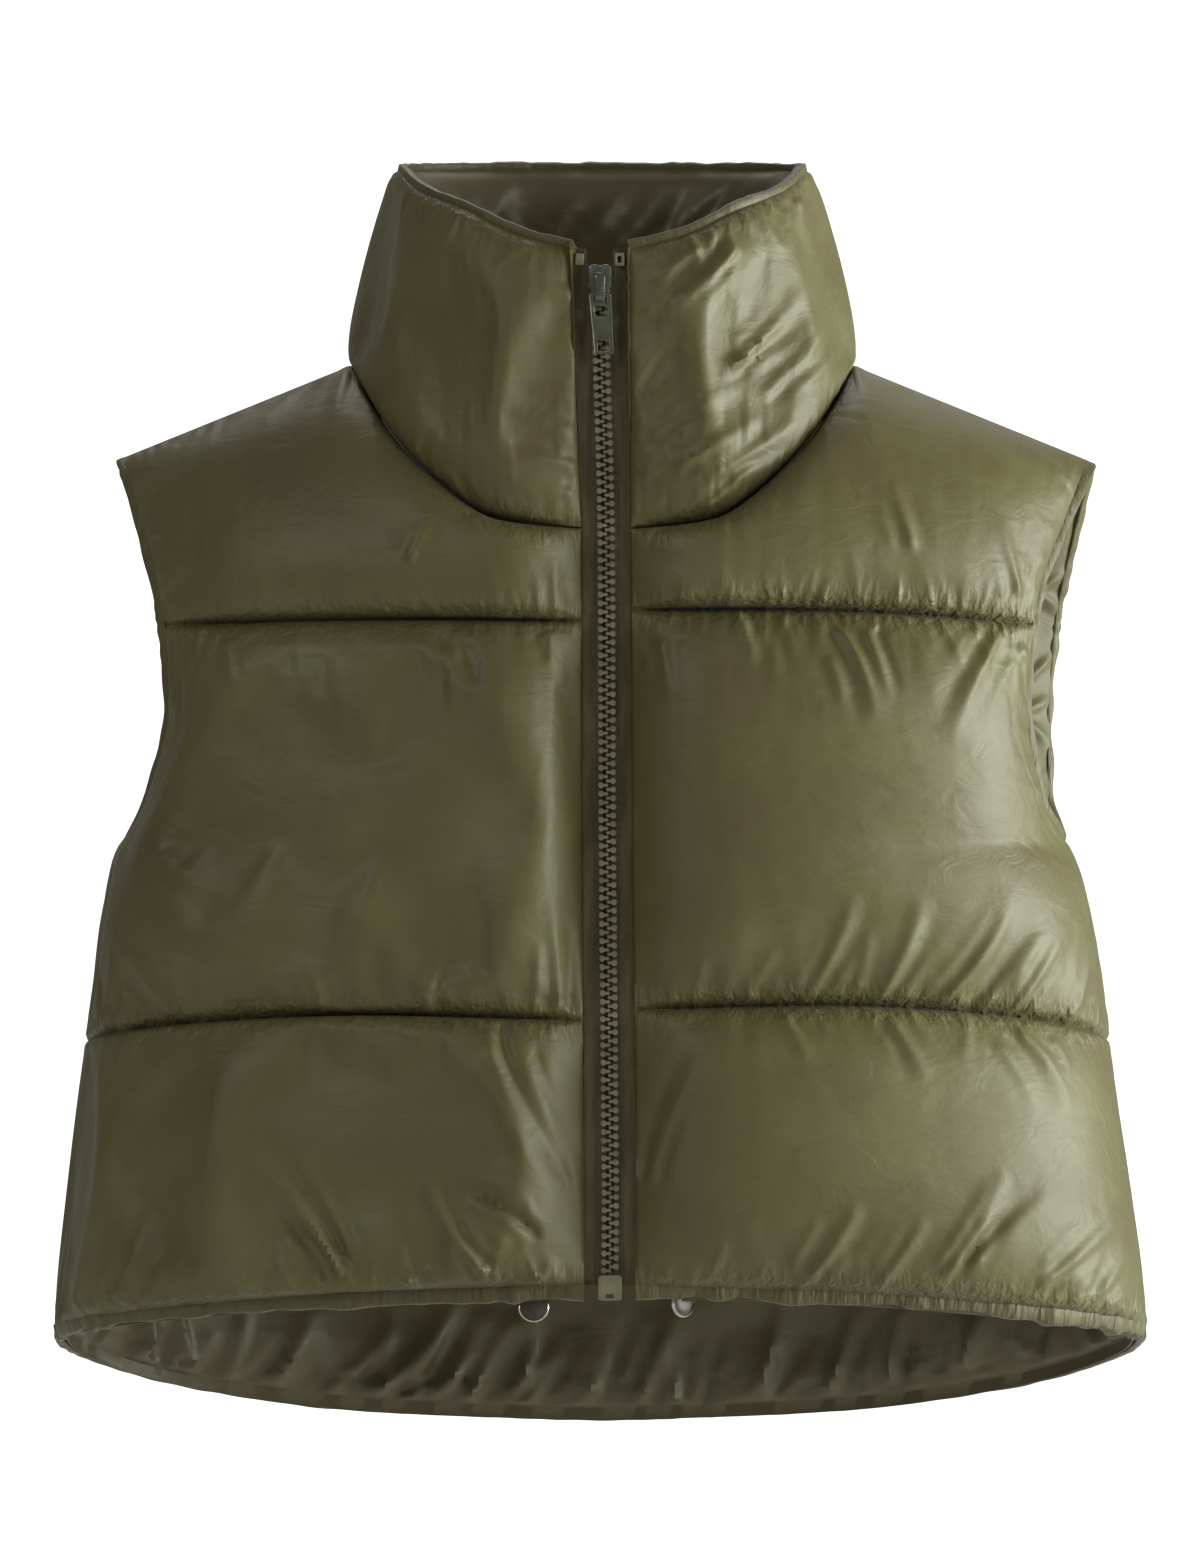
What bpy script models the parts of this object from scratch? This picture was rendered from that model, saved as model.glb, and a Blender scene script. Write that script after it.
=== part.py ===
"""Cropped puffer vest with a high stand collar and a front zip, hollow, as if filled by a wearer.

Metres, +Z up. The front faces -Y, the wearer's left is +X. The origin is midway between the
two neck points, where the vest rests on the shoulders. Every cloth piece is one closed wall:
a grid of points on its plain inside, and the same grid moved out by the quilted thickness.
"""

import math

import bmesh
import bpy
from mathutils import Vector

# ---- driving sizes -------------------------------------------------------------------

SEAM_GAP = 0.0003        # between pieces that are sewn edge to edge
NECK_GAP = 0.0009        # the same round the neck, where the panels turn sharply
WALL = 0.004             # shell, padding and lining pressed together at a seam
NECK_POINT = (0.1084, 0.0018)    # sideways place and height, where neck meets shoulder
SHOULDER_TIP = (0.2072, -0.0382)
SHOULDER_SLOPE = (SHOULDER_TIP[1] - NECK_POINT[1]) / (SHOULDER_TIP[0] - NECK_POINT[0])
SHOULDER_ROUND = 0.120   # height over which the chest turns back into the shoulder
ROUNDNESS = 2.4          # exponent of the body's rings
ARMHOLE_BASE = -0.2050   # where the side seam ends
NECK_FRONT_HEIGHT = -0.0690
NECK_BACK_HEIGHT = -0.0080

BODY = (  # height, half width, depth of the front, depth of the back, shift of the centre
    (-0.4600, 0.2375, 0.124, 0.118, -0.0010),
    (-0.4180, 0.2350, 0.123, 0.118, -0.0008),
    (-0.3900, 0.2330, 0.121, 0.117, -0.0013),
    (-0.3570, 0.2290, 0.118, 0.115, -0.0018),
    (-0.3140, 0.2232, 0.114, 0.112, -0.0025),
    (-0.2730, 0.2180, 0.110, 0.110, -0.0020),
    (-0.2380, 0.2130, 0.107, 0.108, -0.0030),
    (-0.2140, 0.2075, 0.105, 0.107, -0.0032),
    (-0.2050, 0.2040, 0.104, 0.107, -0.0035),
    (-0.1900, 0.2042, 0.103, 0.107, -0.0005),
    (-0.1500, 0.2080, 0.101, 0.108, 0.0000),
    (-0.1000, 0.2140, 0.098, 0.108, 0.0000),
    (-0.0400, 0.2225, 0.094, 0.104, 0.0010),
    (0.0600, 0.2350, 0.086, 0.094, 0.0010),
)
ARMHOLE = (  # height, half width of the panels at the armhole's edge, shift of the centre
    (-0.2050, 0.2040, -0.0035),
    (-0.1900, 0.1958, -0.0023),
    (-0.1740, 0.1918, -0.0002),
    (-0.1560, 0.1885, 0.0018),
    (-0.1400, 0.1880, 0.0024),
    (-0.1200, 0.1892, 0.0026),
    (-0.0950, 0.1928, 0.0026),
    (-0.0660, 0.2000, 0.0024),
    (-0.0382, 0.2072, 0.0018),
)
SHOULDER_SHIFT = 0.0018  # sideways shift of both shoulder tips
ARMHOLE_INSET = {  # how much further in the middle of each armhole edge lies
    ("front", 1): 0.0080,
    ("front", -1): 0.0000,
    ("back", 1): 0.0000,
    ("back", -1): 0.0030,
}
LEVELS = {  # share of the way from the centre to the side seam, hem, lower seam, upper seam
    "front": (
        (0.00, -0.3970, -0.2785, -0.1080),
        (0.25, -0.4005, -0.2765, -0.1075),
        (0.50, -0.4060, -0.2795, -0.1080),
        (0.75, -0.4115, -0.2840, -0.1090),
        (1.00, -0.4160, -0.2885, -0.1095),
    ),
    "back": (
        (0.00, -0.4540, -0.3040, -0.1120),
        (0.25, -0.4495, -0.3020, -0.1120),
        (0.50, -0.4395, -0.2970, -0.1115),
        (0.75, -0.4270, -0.2920, -0.1105),
        (1.00, -0.4160, -0.2885, -0.1095),
    ),
}
LEFT_SEAM_LIFT = 0.0045  # the left front's seams sit this much higher at the zip
NECKLINE = (  # share of the way from the zip to the neck point, share of the rise
    (0.00, 0.000),
    (0.33, 0.040),
    (0.48, 0.130),
    (0.73, 0.420),
    (0.90, 0.740),
    (1.00, 1.000),
)
PUFF = {  # how far the padding rises past the seams, by baffle from the hem up
    "front": (0.0230, 0.0260, 0.0200),
    "back": (0.0220, 0.0240, 0.0200),
}
PUFF_RISE_CENTRE = 0.16  # share of a panel over which the padding fills out from the zip
PUFF_RISE_SIDE = 0.20    # the same from the side seam or armhole
PUFF_TURNED = 0.10       # share of the padding left where the cloth faces sideways or up

COLLAR_TOP = (  # turn from the zip round to the centre back in degrees, height of the top edge
    (0.0, 0.0490),
    (20.0, 0.0570),
    (38.0, 0.0680),
    (60.0, 0.0760),
    (80.0, 0.0842),
    (100.0, 0.0857),
    (180.0, 0.0878),
)
COLLAR_TOP_HALF_WIDTH = 0.0880
COLLAR_TOP_FRONT = 0.0958
COLLAR_TOP_BACK = 0.0640
COLLAR_PUFF = 0.0170
COLLAR_PUFF_TURNED = 0.16
COLLAR_PUFF_INSIDE = 0.0100

ZIP_LINE = (  # height, sideways place of the zip, half width of the gap that its tape fills
    (-0.4100, 0.0032, 0.0110),
    (-0.3480, 0.0034, 0.0112),
    (-0.2000, 0.0022, 0.0110),
    (-0.0650, 0.0016, 0.0108),
    (0.0000, -0.0002, 0.0118),
    (0.0490, -0.0012, 0.0126),
)
TAPE_THICKNESS = 0.0012
TAPE_DEPTH = 0.0014      # from the panels' outside in to the tape's face
CHAIN_WIDTH = 0.0075
CHAIN_THICKNESS = 0.0026
SLIDER_TOP = 0.0440
SLIDER_LENGTH = 0.0180
SLIDER_WIDTH = 0.0096
SLIDER_PLATE = 0.0014
BRIDGE_WIDTH = 0.0044
BRIDGE_DEPTH = 0.0014
BRIDGE_SPAN = (0.0032, 0.0160)  # from the slider's top down to the bridge's ends
BRIDGE_CLEAR = 0.0020    # between the bridge and the slider's face
PULL_LENGTH = 0.0252
PULL_WIDTH = 0.0094
PULL_THICKNESS = 0.0016
PULL_WINDOW = (-0.0010, 0.0090, 0.0058)  # top and foot below the axis, width
PULL_HOLE = (0.0192, 0.0238, 0.0050)    # the same for the hole near the tab's end
BOX_TOP = -0.3875
BOX_SIZE = (0.0100, 0.0056, 0.0108)

TRIM_WIDTH = 0.0030      # armhole binding and collar band
BINDING_GAP = 0.0009     # the armhole turns sharply, so its binding keeps this from the panels
HEM_BAND = 0.0050
STUD_RADIUS = 0.0067
STUD_ACROSS = (-0.0292, 0.0344)  # sideways places of the two hem studs
STUD_HEIGHT = -0.4010
STUD_DEPTH = 0.0022
STUD_TAB = (0.0150, 0.0012, 0.0210)
STUD_TAB_RISE = 0.0170   # from the stud's centre up to where its tab is sewn on
STUD_SEAT = 0.0008       # from the front's curved inside to the flat tab

NECK_COLUMNS = 6         # columns of a front between the zip and the neck point
SHOULDER_COLUMNS = 6     # columns of a front along the shoulder seam
ROWS = (7, 10, 8)        # rows of the three baffles, from the hem up

MATERIALS = {  # colour, roughness, metallic
    "shell": ((0.085, 0.078, 0.032), 0.42, 0.0),
    "lining": ((0.062, 0.053, 0.030), 0.55, 0.0),
    "trim": ((0.078, 0.071, 0.030), 0.48, 0.0),
    "tape": ((0.040, 0.036, 0.020), 0.80, 0.0),
    "plastic": ((0.085, 0.080, 0.045), 0.35, 0.0),
    "slider": ((0.120, 0.120, 0.085), 0.35, 0.6),
    "stud": ((0.240, 0.230, 0.210), 0.28, 0.9),
}


# ---- reading the tables --------------------------------------------------------------

def read(rows, at, column=1):
    """Read one column of a table where its first column is `at`, along a smooth curve."""
    last = len(rows) - 1
    at = min(max(at, rows[0][0]), rows[last][0])
    k = next(i for i in range(last) if at <= rows[i + 1][0])

    def slope(i):
        low = max(i - 1, 0)
        high = min(i + 1, last)
        return (rows[high][column] - rows[low][column]) / (rows[high][0] - rows[low][0])

    step = rows[k + 1][0] - rows[k][0]
    t = (at - rows[k][0]) / step
    start = rows[k][column] * (2 * t**3 - 3 * t**2 + 1) + slope(k) * step * (t**3 - 2 * t**2 + t)
    end = rows[k + 1][column] * (3 * t**2 - 2 * t**3) + slope(k + 1) * step * (t**3 - t**2)
    return start + end


def pillow(share):
    """Rise of the padding between two seams: 0 on each seam and 1 midway."""
    return (1 - abs(2 * share - 1) ** 2.4) ** 0.75


def rise(share):
    """Rise of the padding from an edge: 0 on it, and 1 from a share of 1 on."""
    return math.sin(min(max(share, 0.0), 1.0) * math.pi / 2) ** 0.9


def facing_share(normal, turned):
    """Share of the padding that shows: all of it in front and behind, little at the sides."""
    return turned + (1 - turned) * normal.y**2


# ---- the body's form -----------------------------------------------------------------

def shoulder_height(across):
    """Height of the shoulder line, carried on over the neck, at a distance from the centre."""
    return NECK_POINT[1] + SHOULDER_SLOPE * (abs(across) - NECK_POINT[0])


def body_point(half, across, height):
    """Point of the front or back half of the body's form over a place in the front view."""
    centre = read(BODY, height, 4)
    share = min(abs(across - centre) / read(BODY, height, 1), 1.0)
    below = max(shoulder_height(across) - height, 0.0) / SHOULDER_ROUND
    turn = (1 - (1 - min(below, 1.0)) ** 2.2) ** (1 / 2.2)
    deep = (1 - share**ROUNDNESS) ** (1 / ROUNDNESS) * turn
    if half == "front":
        return Vector((across, -deep * read(BODY, height, 2) - SEAM_GAP / 2, height))
    return Vector((across, deep * read(BODY, height, 3) + SEAM_GAP / 2, height))


def zip_edge(half, side, height):
    """Sideways place of a front's edge along the zip, or of the back's centre line."""
    if half == "back":
        return read(BODY, height, 4)
    return read(ZIP_LINE, height, 1) + side * read(ZIP_LINE, height, 2)


def outer_edge(half, side, height):
    """Sideways place of a panel's side seam, or of its armhole edge higher up."""
    if height <= ARMHOLE_BASE:
        return read(BODY, height, 4) + side * read(BODY, height, 1)
    share = (height - ARMHOLE_BASE) / (SHOULDER_TIP[1] - ARMHOLE_BASE)
    inset = ARMHOLE_INSET[half, side] * min(math.sin(share * math.pi) * 1.2, 1.0)
    return read(ARMHOLE, height, 2) + side * (read(ARMHOLE, height) - inset)


def seam_height(half, side, level, share):
    """Height of the hem (1), the lower seam (2) or the upper seam (3) of a panel."""
    height = read(LEVELS[half], share, level)
    if half == "front" and side > 0 and level > 1:
        height += LEFT_SEAM_LIFT * (1 - share**2)
    return height


def ring_point(half, side, share, height):
    """Point of a panel at a share of its arc from the centre out, at a height."""
    centre = read(BODY, height, 4)
    width = read(BODY, height, 1)

    def turn_to(across):
        return math.acos(min(abs(across - centre) / width, 1.0) ** (ROUNDNESS / 2))

    start = turn_to(zip_edge(half, side, height))
    end = turn_to(outer_edge(half, side, height))
    turn = start + (end - start) * share
    return body_point(half, centre + side * width * math.cos(turn) ** (2 / ROUNDNESS), height)


def neckline(half, side, share):
    """Place in the front view of a panel's neck seam, from the centre to the neck point."""
    if half == "back":
        drop = math.cos(share * math.pi / 2)
        return side * share * NECK_POINT[0], NECK_POINT[1] + (NECK_BACK_HEIGHT - NECK_POINT[1]) * drop
    low = zip_edge(half, side, NECK_FRONT_HEIGHT)
    k = share * (len(NECKLINE) - 1)
    steps = [(float(n), *row) for n, row in enumerate(NECKLINE)]
    across = low + (side * NECK_POINT[0] - low) * read(steps, k, 1)
    return across, NECK_FRONT_HEIGHT + (NECK_POINT[1] - NECK_FRONT_HEIGHT) * read(steps, k, 2)


def top_edge(half, side, share):
    """Place in the front view of a panel's top edge: its neck seam, then its shoulder seam."""
    neck_share = NECK_COLUMNS / (NECK_COLUMNS + SHOULDER_COLUMNS)
    if share <= neck_share:
        return neckline(half, side, share / neck_share)
    along = (share - neck_share) / (1 - neck_share)
    across = NECK_POINT[0] + (SHOULDER_TIP[0] - NECK_POINT[0]) * along
    shifted = side * across + SHOULDER_SHIFT * along
    return shifted, shoulder_height(shifted)


def yoke_point(half, side, share, rise_share):
    """Point of the top baffle: its four edges, blended across and up."""
    base = seam_height(half, side, 3, share)
    low = ring_point(half, side, share, base)
    high = top_edge(half, side, share)
    edges = []
    for end, edge in ((0.0, zip_edge), (1.0, outer_edge)):
        foot = seam_height(half, side, 3, end)
        head = top_edge(half, side, end)[1]
        height = foot + (head - foot) * rise_share
        straight = edge(half, side, foot)
        straight += (edge(half, side, head) - straight) * rise_share
        edges.append(edge(half, side, height) - straight)
    across = low.x + (high[0] - low.x) * rise_share
    across += edges[0] * (1 - share) + edges[1] * share
    height = base + (high[1] - base) * rise_share
    return body_point(half, across, height)


def panel_rows(half, side):
    """Rows of a panel as (baffle, share of its height), from the hem to the top edge."""
    rows = [(0, k / ROWS[0]) for k in range(ROWS[0])]
    low = seam_height(half, side, 2, 1.0)
    corner = (ARMHOLE_BASE - low) / (seam_height(half, side, 3, 1.0) - low)
    lower = ROWS[1] // 2
    rows += [(1, corner * k / lower) for k in range(lower)]
    rows += [(1, corner + (1 - corner) * (k / lower) ** 1.6) for k in range(lower)]
    rows += [(2, 1 - (1 - k / ROWS[2]) ** 1.5) for k in range(ROWS[2] + 1)]
    return rows


def panel_point(half, side, share, baffle, up):
    """Point of a panel in one of its baffles, at a share across and a share up."""
    if baffle == 2:
        return yoke_point(half, side, share, up)
    low = seam_height(half, side, baffle + 1, share)
    if baffle == 0:
        low += HEM_BAND + SEAM_GAP
    high = seam_height(half, side, baffle + 2, share)
    return ring_point(half, side, share, low + (high - low) * up)


# ---- walls ---------------------------------------------------------------------------

def grid_normals(points):
    """Outward direction at each point of a grid of rows that go up, columns any way round."""
    normals = []
    for i, row in enumerate(points):
        normals.append([])
        for j in range(len(row)):
            up = points[min(i + 1, len(points) - 1)][j] - points[max(i - 1, 0)][j]
            along = row[min(j + 1, len(row) - 1)] - row[max(j - 1, 0)]
            normal = along.cross(up).normalized()
            normals[-1].append(normal)
    middle = len(points) // 3, len(points[0]) // 4
    point = points[middle[0]][middle[1]]
    if normals[middle[0]][middle[1]].dot(Vector((point.x, point.y, 0.0))) < 0:
        normals = [[-normal for normal in row] for row in normals]
    return normals


def offset(points, normals, distances):
    """Points moved along their normals by one distance, or by a grid of distances."""
    moved = []
    for i, row in enumerate(points):
        moved.append([])
        for j, point in enumerate(row):
            distance = distances if isinstance(distances, float) else distances[i][j]
            moved[-1].append(point + normals[i][j] * distance)
    return moved


def add_object(name, bm, material, collection, origin=None):
    """Turn a bmesh into a named object, shaded smooth, with its own material."""
    bmesh.ops.recalc_face_normals(bm, faces=bm.faces[:])
    if bm.calc_volume(signed=True) < 0:
        bmesh.ops.reverse_faces(bm, faces=bm.faces[:])
    mesh = bpy.data.meshes.new(name)
    if origin is not None:
        bmesh.ops.translate(bm, verts=bm.verts[:], vec=-origin)
    bm.to_mesh(mesh)
    bm.free()
    mesh.shade_smooth()
    mesh.set_sharp_from_angle(angle=math.radians(40))
    mesh.materials.append(make_material(name, material))
    piece = bpy.data.objects.new(name, mesh)
    if origin is not None:
        piece.location = origin
    collection.objects.link(piece)
    return piece


def make_material(name, finish):
    """Principled material of one object."""
    colour, roughness, metallic = MATERIALS[finish]
    material = bpy.data.materials.new(f"{name}_{finish}")
    material.use_nodes = True
    shader = material.node_tree.nodes["Principled BSDF"]
    shader.inputs["Base Color"].default_value = (*colour, 1.0)
    shader.inputs["Roughness"].default_value = roughness
    shader.inputs["Metallic"].default_value = metallic
    material.diffuse_color = (*colour, 1.0)
    return material


def add_wall(name, inner, outer, material, collection):
    """Closed wall between two matching grids of points."""
    bm = bmesh.new()
    bmesh.ops.create_grid(bm, x_segments=len(inner[0]) - 1, y_segments=len(inner) - 1, size=1)
    place = bm.verts.layers.int.new("place")
    for k, vert in enumerate(bm.verts):
        vert[place] = k
    grown = bmesh.ops.extrude_face_region(bm, geom=bm.faces[:])["geom"]
    moved = {item for item in grown if isinstance(item, bmesh.types.BMVert)}
    inside = [point for row in inner for point in row]
    outside = [point for row in outer for point in row]
    for vert in bm.verts:
        vert.co = (outside if vert in moved else inside)[vert[place]]
    bm.verts.layers.int.remove(place)
    return add_object(name, bm, material, collection)


def add_loft(name, sections, material, collection, closed=False):
    """Solid through rings of points; a closed one comes back to its first ring."""
    sections = sections + sections[:1] if closed else sections
    rings = [section + section[:1] for section in sections]
    bm = bmesh.new()
    bmesh.ops.create_grid(bm, x_segments=len(rings[0]) - 1, y_segments=len(rings) - 1, size=1)
    bm.verts.ensure_lookup_table()
    for vert, point in zip(bm.verts, (point for ring in rings for point in ring)):
        vert.co = point
    bmesh.ops.remove_doubles(bm, verts=bm.verts[:], dist=1e-6)
    edges = [edge for edge in bm.edges if edge.is_boundary]
    if edges:
        bmesh.ops.holes_fill(bm, edges=edges, sides=0)
    return add_object(name, bm, material, collection)


def edge_strip(name, edge, normals, inward, width, collection, gap=SEAM_GAP, closed=False):
    """Narrow trim along a piece's edge, in the plane of its cloth and just proud of it.

    `inward` holds, for each point of the edge, a point further inside the piece. The ends of
    an open strip are square to the height.
    """
    sections = []
    count = len(edge)
    for k, point in enumerate(edge):
        before = edge[k - 1] if closed or k else point
        after = edge[(k + 1) % count] if closed or k < count - 1 else point
        along = (after - before).normalized()
        away = along.cross(normals[k]).normalized()
        if away.dot(inward[k] - point) > 0:
            away = -away
        if not closed and k in (0, count - 1):
            away = Vector((0.0, 0.0, math.copysign(1, away.z)))
        start = point + away * gap
        end = point + away * (gap + width)
        proud = normals[k] * 0.0006
        back = normals[k] * (WALL + 0.0004)
        middle = point + away * (gap + width * 1.25) - normals[k] * WALL / 2
        sections.append([start + proud, end + proud, middle, end - back, start - back])
    return add_loft(name, sections, "trim", collection, closed)


# ---- cloth pieces --------------------------------------------------------------------

def panel_grid(half, side):
    """Stitched surface of one side of a panel, its normals and its padding."""
    columns = NECK_COLUMNS + SHOULDER_COLUMNS
    rows = panel_rows(half, side)
    points = []
    padding = []
    for baffle, up in rows:
        points.append([])
        padding.append([])
        for j in range(columns + 1):
            share = j / columns
            points[-1].append(panel_point(half, side, share, baffle, up))
            full = rise((1 - share) / PUFF_RISE_SIDE)
            if half == "front":
                full *= rise(share / PUFF_RISE_CENTRE)
            padding[-1].append(PUFF[half][baffle] * pillow(up) * full)
    normals = grid_normals(points)
    flatten_seam_normals(half, points, normals, columns)
    for row, directions in zip(padding, normals):
        for j, normal in enumerate(directions):
            row[j] *= facing_share(normal, PUFF_TURNED)
    return points, normals, padding


def face_forward(normals, column):
    """Turn a column of directions straight to the front or back, as along the zip."""
    for row in normals:
        row[column] = Vector((0.0, row[column].y, row[column].z)).normalized()


def flatten_seam_normals(half, points, normals, columns):
    """Give the pieces on both sides of a seam the same direction there."""
    if half == "front":
        face_forward(normals, 0)
    for i, row in enumerate(points):
        if row[columns].z <= ARMHOLE_BASE + 1e-6:
            normals[i][columns] = Vector((math.copysign(1, row[columns].x), 0.0, 0.0))
    for j in range(NECK_COLUMNS, columns + 1):
        side = math.copysign(1, points[-1][j].x)
        normals[-1][j] = Vector((-SHOULDER_SLOPE * side, 0.0, 1.0)).normalized()


def make_front(side, collection):
    """One front: a padded wall of three baffles from the zip to the side."""
    name = "front_left" if side > 0 else "front_right"
    points, normals, padding = panel_grid("front", side)
    add_wall(name, offset(points, normals, -WALL), offset(points, normals, padding),
             "shell", collection)
    return points, normals


def make_back(collection):
    """The back in one piece, and its lining, from side seam to side seam."""
    halves = [panel_grid("back", side) for side in (-1, 1)]
    points, normals, padding = (
        [left[::-1] + right[1:] for left, right in zip(halves[0][part], halves[1][part])]
        for part in range(3)
    )
    for row in normals:
        centre = len(row) // 2
        row[centre] = (row[centre - 1] + row[centre + 1]).normalized()
    add_wall("back", offset(points, normals, -WALL), offset(points, normals, padding),
             "shell", collection)
    hung = slice(0, len(points) - 1)
    sheet = [row[1:-1] for row in points[hung]]
    outward = [row[1:-1] for row in normals[hung]]
    face = offset(sheet, outward, -WALL - SEAM_GAP)
    add_wall("back_lining", offset(face, outward, -0.0010), face, "lining", collection)
    return halves


def collar_grid(fronts, backs):
    """Stitched surface of the collar: up from the neck seam, from zip edge to zip edge."""
    seam = []
    for side in (-1, 1):
        front_points, front_normals = fronts[side]
        back_points, back_normals = backs[side][:2]
        ring = [(front_points[-1][j], front_normals[-1][j]) for j in range(NECK_COLUMNS)]
        middle = (front_points[-1][NECK_COLUMNS] + back_points[-1][NECK_COLUMNS]) / 2
        ring.append((middle, front_normals[-1][NECK_COLUMNS]))
        ring += [(back_points[-1][j], back_normals[-1][j]) for j in range(NECK_COLUMNS)[::-1]]
        seam.append(ring)
    ring = seam[0] + seam[1][::-1][1:]
    base = [point for point, _ in ring]
    directions = [normal for _, normal in ring]
    centre = Vector((0.0, 0.0, 0.0))
    lifted = []
    for k, point in enumerate(base):
        along = (base[min(k + 1, len(base) - 1)] - base[max(k - 1, 0)]).normalized()
        into = along.cross(directions[k]).normalized()
        if into.dot(centre + Vector((0, 0, 0.05)) - point) < 0:
            into = -into
        lifted.append(point + into * NECK_GAP)
    rows = 7
    points = [lifted]
    for i in range(1, rows + 1):
        up = i / rows
        points.append([start.lerp(end, up) for start, end in zip(lifted, collar_top(lifted))])
    normals = grid_normals(points)
    normals[0] = directions
    face_forward(normals, 0)
    face_forward(normals, -1)
    return points, normals


def collar_top(base):
    """Top edge of the collar, one point for each point of its neck seam."""
    count = len(base) - 1
    top = []
    for k in range(count + 1):
        side = -1 if k <= count / 2 else 1
        share = 1 - abs(2 * k / count - 1)
        turn = collar_turn(share)
        height = read(COLLAR_TOP, math.degrees(turn))
        wide = abs(math.sin(turn)) ** (2 / ROUNDNESS)
        deep = math.copysign(abs(math.cos(turn)) ** (2 / ROUNDNESS), -math.cos(turn))
        reach = COLLAR_TOP_FRONT if deep < 0 else COLLAR_TOP_BACK
        across = side * COLLAR_TOP_HALF_WIDTH * wide
        if share == 0:
            across = zip_edge("front", side, height)
        top.append(Vector((across, reach * deep, height)))
    return top


def collar_turn(share):
    """Turn round the top edge, from the zip (0) to the centre back (1)."""
    start = 0.075
    return start + (math.pi - start) * share


def make_collar(fronts, backs, collection):
    """The padded stand collar, one baffle high, its lining and the band on its top edge."""
    points, normals = collar_grid(fronts, backs)
    last = len(points) - 1
    columns = len(points[0]) - 1
    inner = []
    outer = []
    for i, row in enumerate(points):
        inner.append([])
        outer.append([])
        for j, point in enumerate(row):
            share = 1 - abs(2 * j / columns - 1)
            full = pillow(i / last) * rise(share / 0.12)
            puff = COLLAR_PUFF * facing_share(normals[i][j], COLLAR_PUFF_TURNED)
            inner[-1].append(point - normals[i][j] * (WALL + COLLAR_PUFF_INSIDE * full))
            outer[-1].append(point + normals[i][j] * puff * full)
    add_wall("collar", inner, outer, "shell", collection)
    low = 3
    face = offset([row[1:-1] for row in inner[low:]], [row[1:-1] for row in normals[low:]], -SEAM_GAP)
    back = offset(face, [row[1:-1] for row in normals[low:]], -0.0010)
    add_wall("collar_lining", back, face, "lining", collection)
    edge_strip("collar_band", points[-1], normals[-1], points[-2], TRIM_WIDTH, collection)
    return points, normals


def make_hem_bands(fronts, backs, collection):
    """The turned band along the lower edge of each panel."""
    for side, name in ((-1, "hem_band_front_right"), (1, "hem_band_front_left")):
        points, normals = fronts[side]
        edge_strip(name, points[0], normals[0], points[1], HEM_BAND, collection)
    points, normals, inward = (
        backs[-1][part][row][::-1] + backs[1][part][row][1:]
        for part, row in ((0, 0), (1, 0), (0, 1))
    )
    edge_strip("hem_band_back", points, normals, inward, HEM_BAND, collection)


def make_bindings(fronts, backs, collection):
    """The binding round each armhole, from the shoulder down the front and up the back."""
    for side, name in ((-1, "armhole_binding_right"), (1, "armhole_binding_left")):
        front_points, front_normals = fronts[side]
        back_points, back_normals = backs[side][:2]
        top = len(front_points) - 1
        base = next(i for i, row in enumerate(front_points) if row[-1].z > ARMHOLE_BASE - 1e-6)
        edge = [front_points[i][-1] for i in range(top - 1, base, -1)]
        edge.append((front_points[base][-1] + back_points[base][-1]) / 2)
        edge += [back_points[i][-1] for i in range(base + 1, top)]
        edge.append((front_points[top][-1] + back_points[top][-1]) / 2)
        normals = [front_normals[i][-1] for i in range(top - 1, base - 1, -1)]
        normals += [back_normals[i][-1] for i in range(base + 1, top + 1)]
        middle = Vector((edge[0].x, 0.0, (edge[-1].z + ARMHOLE_BASE) / 2))
        outside = [point + (point - middle) for point in edge]
        edge_strip(name, edge, normals, outside, TRIM_WIDTH, collection, BINDING_GAP, closed=True)


# ---- zip -----------------------------------------------------------------------------

def zip_front(points, collar_points, side):
    """The panels' outside along the zip edge of one side, from the hem to the collar's top."""
    column = 0 if side < 0 else -1
    return [row[0] for row in points] + [row[column] for row in collar_points[1:]]


def make_tapes(fronts, collar_points, collection):
    """The two tapes of the zip, each from its front's edge to the middle."""
    for side, name in ((-1, "zip_tape_right"), (1, "zip_tape_left")):
        sections = []
        for point in zip_front(fronts[side][0], collar_points, side):
            middle = read(ZIP_LINE, point.z, 1)
            spread = max(point.z - SLIDER_TOP + SLIDER_LENGTH, 0.0) * 0.22
            inner = middle + side * (0.0004 + spread)
            outer = point.x - side * SEAM_GAP
            face = point.y + TAPE_DEPTH
            sections.append([
                Vector((outer, face, point.z)),
                Vector((inner, face, point.z)),
                Vector((inner, face + TAPE_THICKNESS, point.z)),
                Vector((outer, face + TAPE_THICKNESS, point.z)),
            ])
        add_loft(name, sections, "tape", collection)


def zip_face(fronts, collar_points, height):
    """Depth of the tapes' outer face at a height."""
    line = zip_front(fronts[1][0], collar_points, 1)
    k = next(i for i in range(len(line) - 1) if height <= line[i + 1].z or i == len(line) - 2)
    share = (height - line[k].z) / (line[k + 1].z - line[k].z)
    return line[k].lerp(line[k + 1], share).y + TAPE_DEPTH


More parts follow.
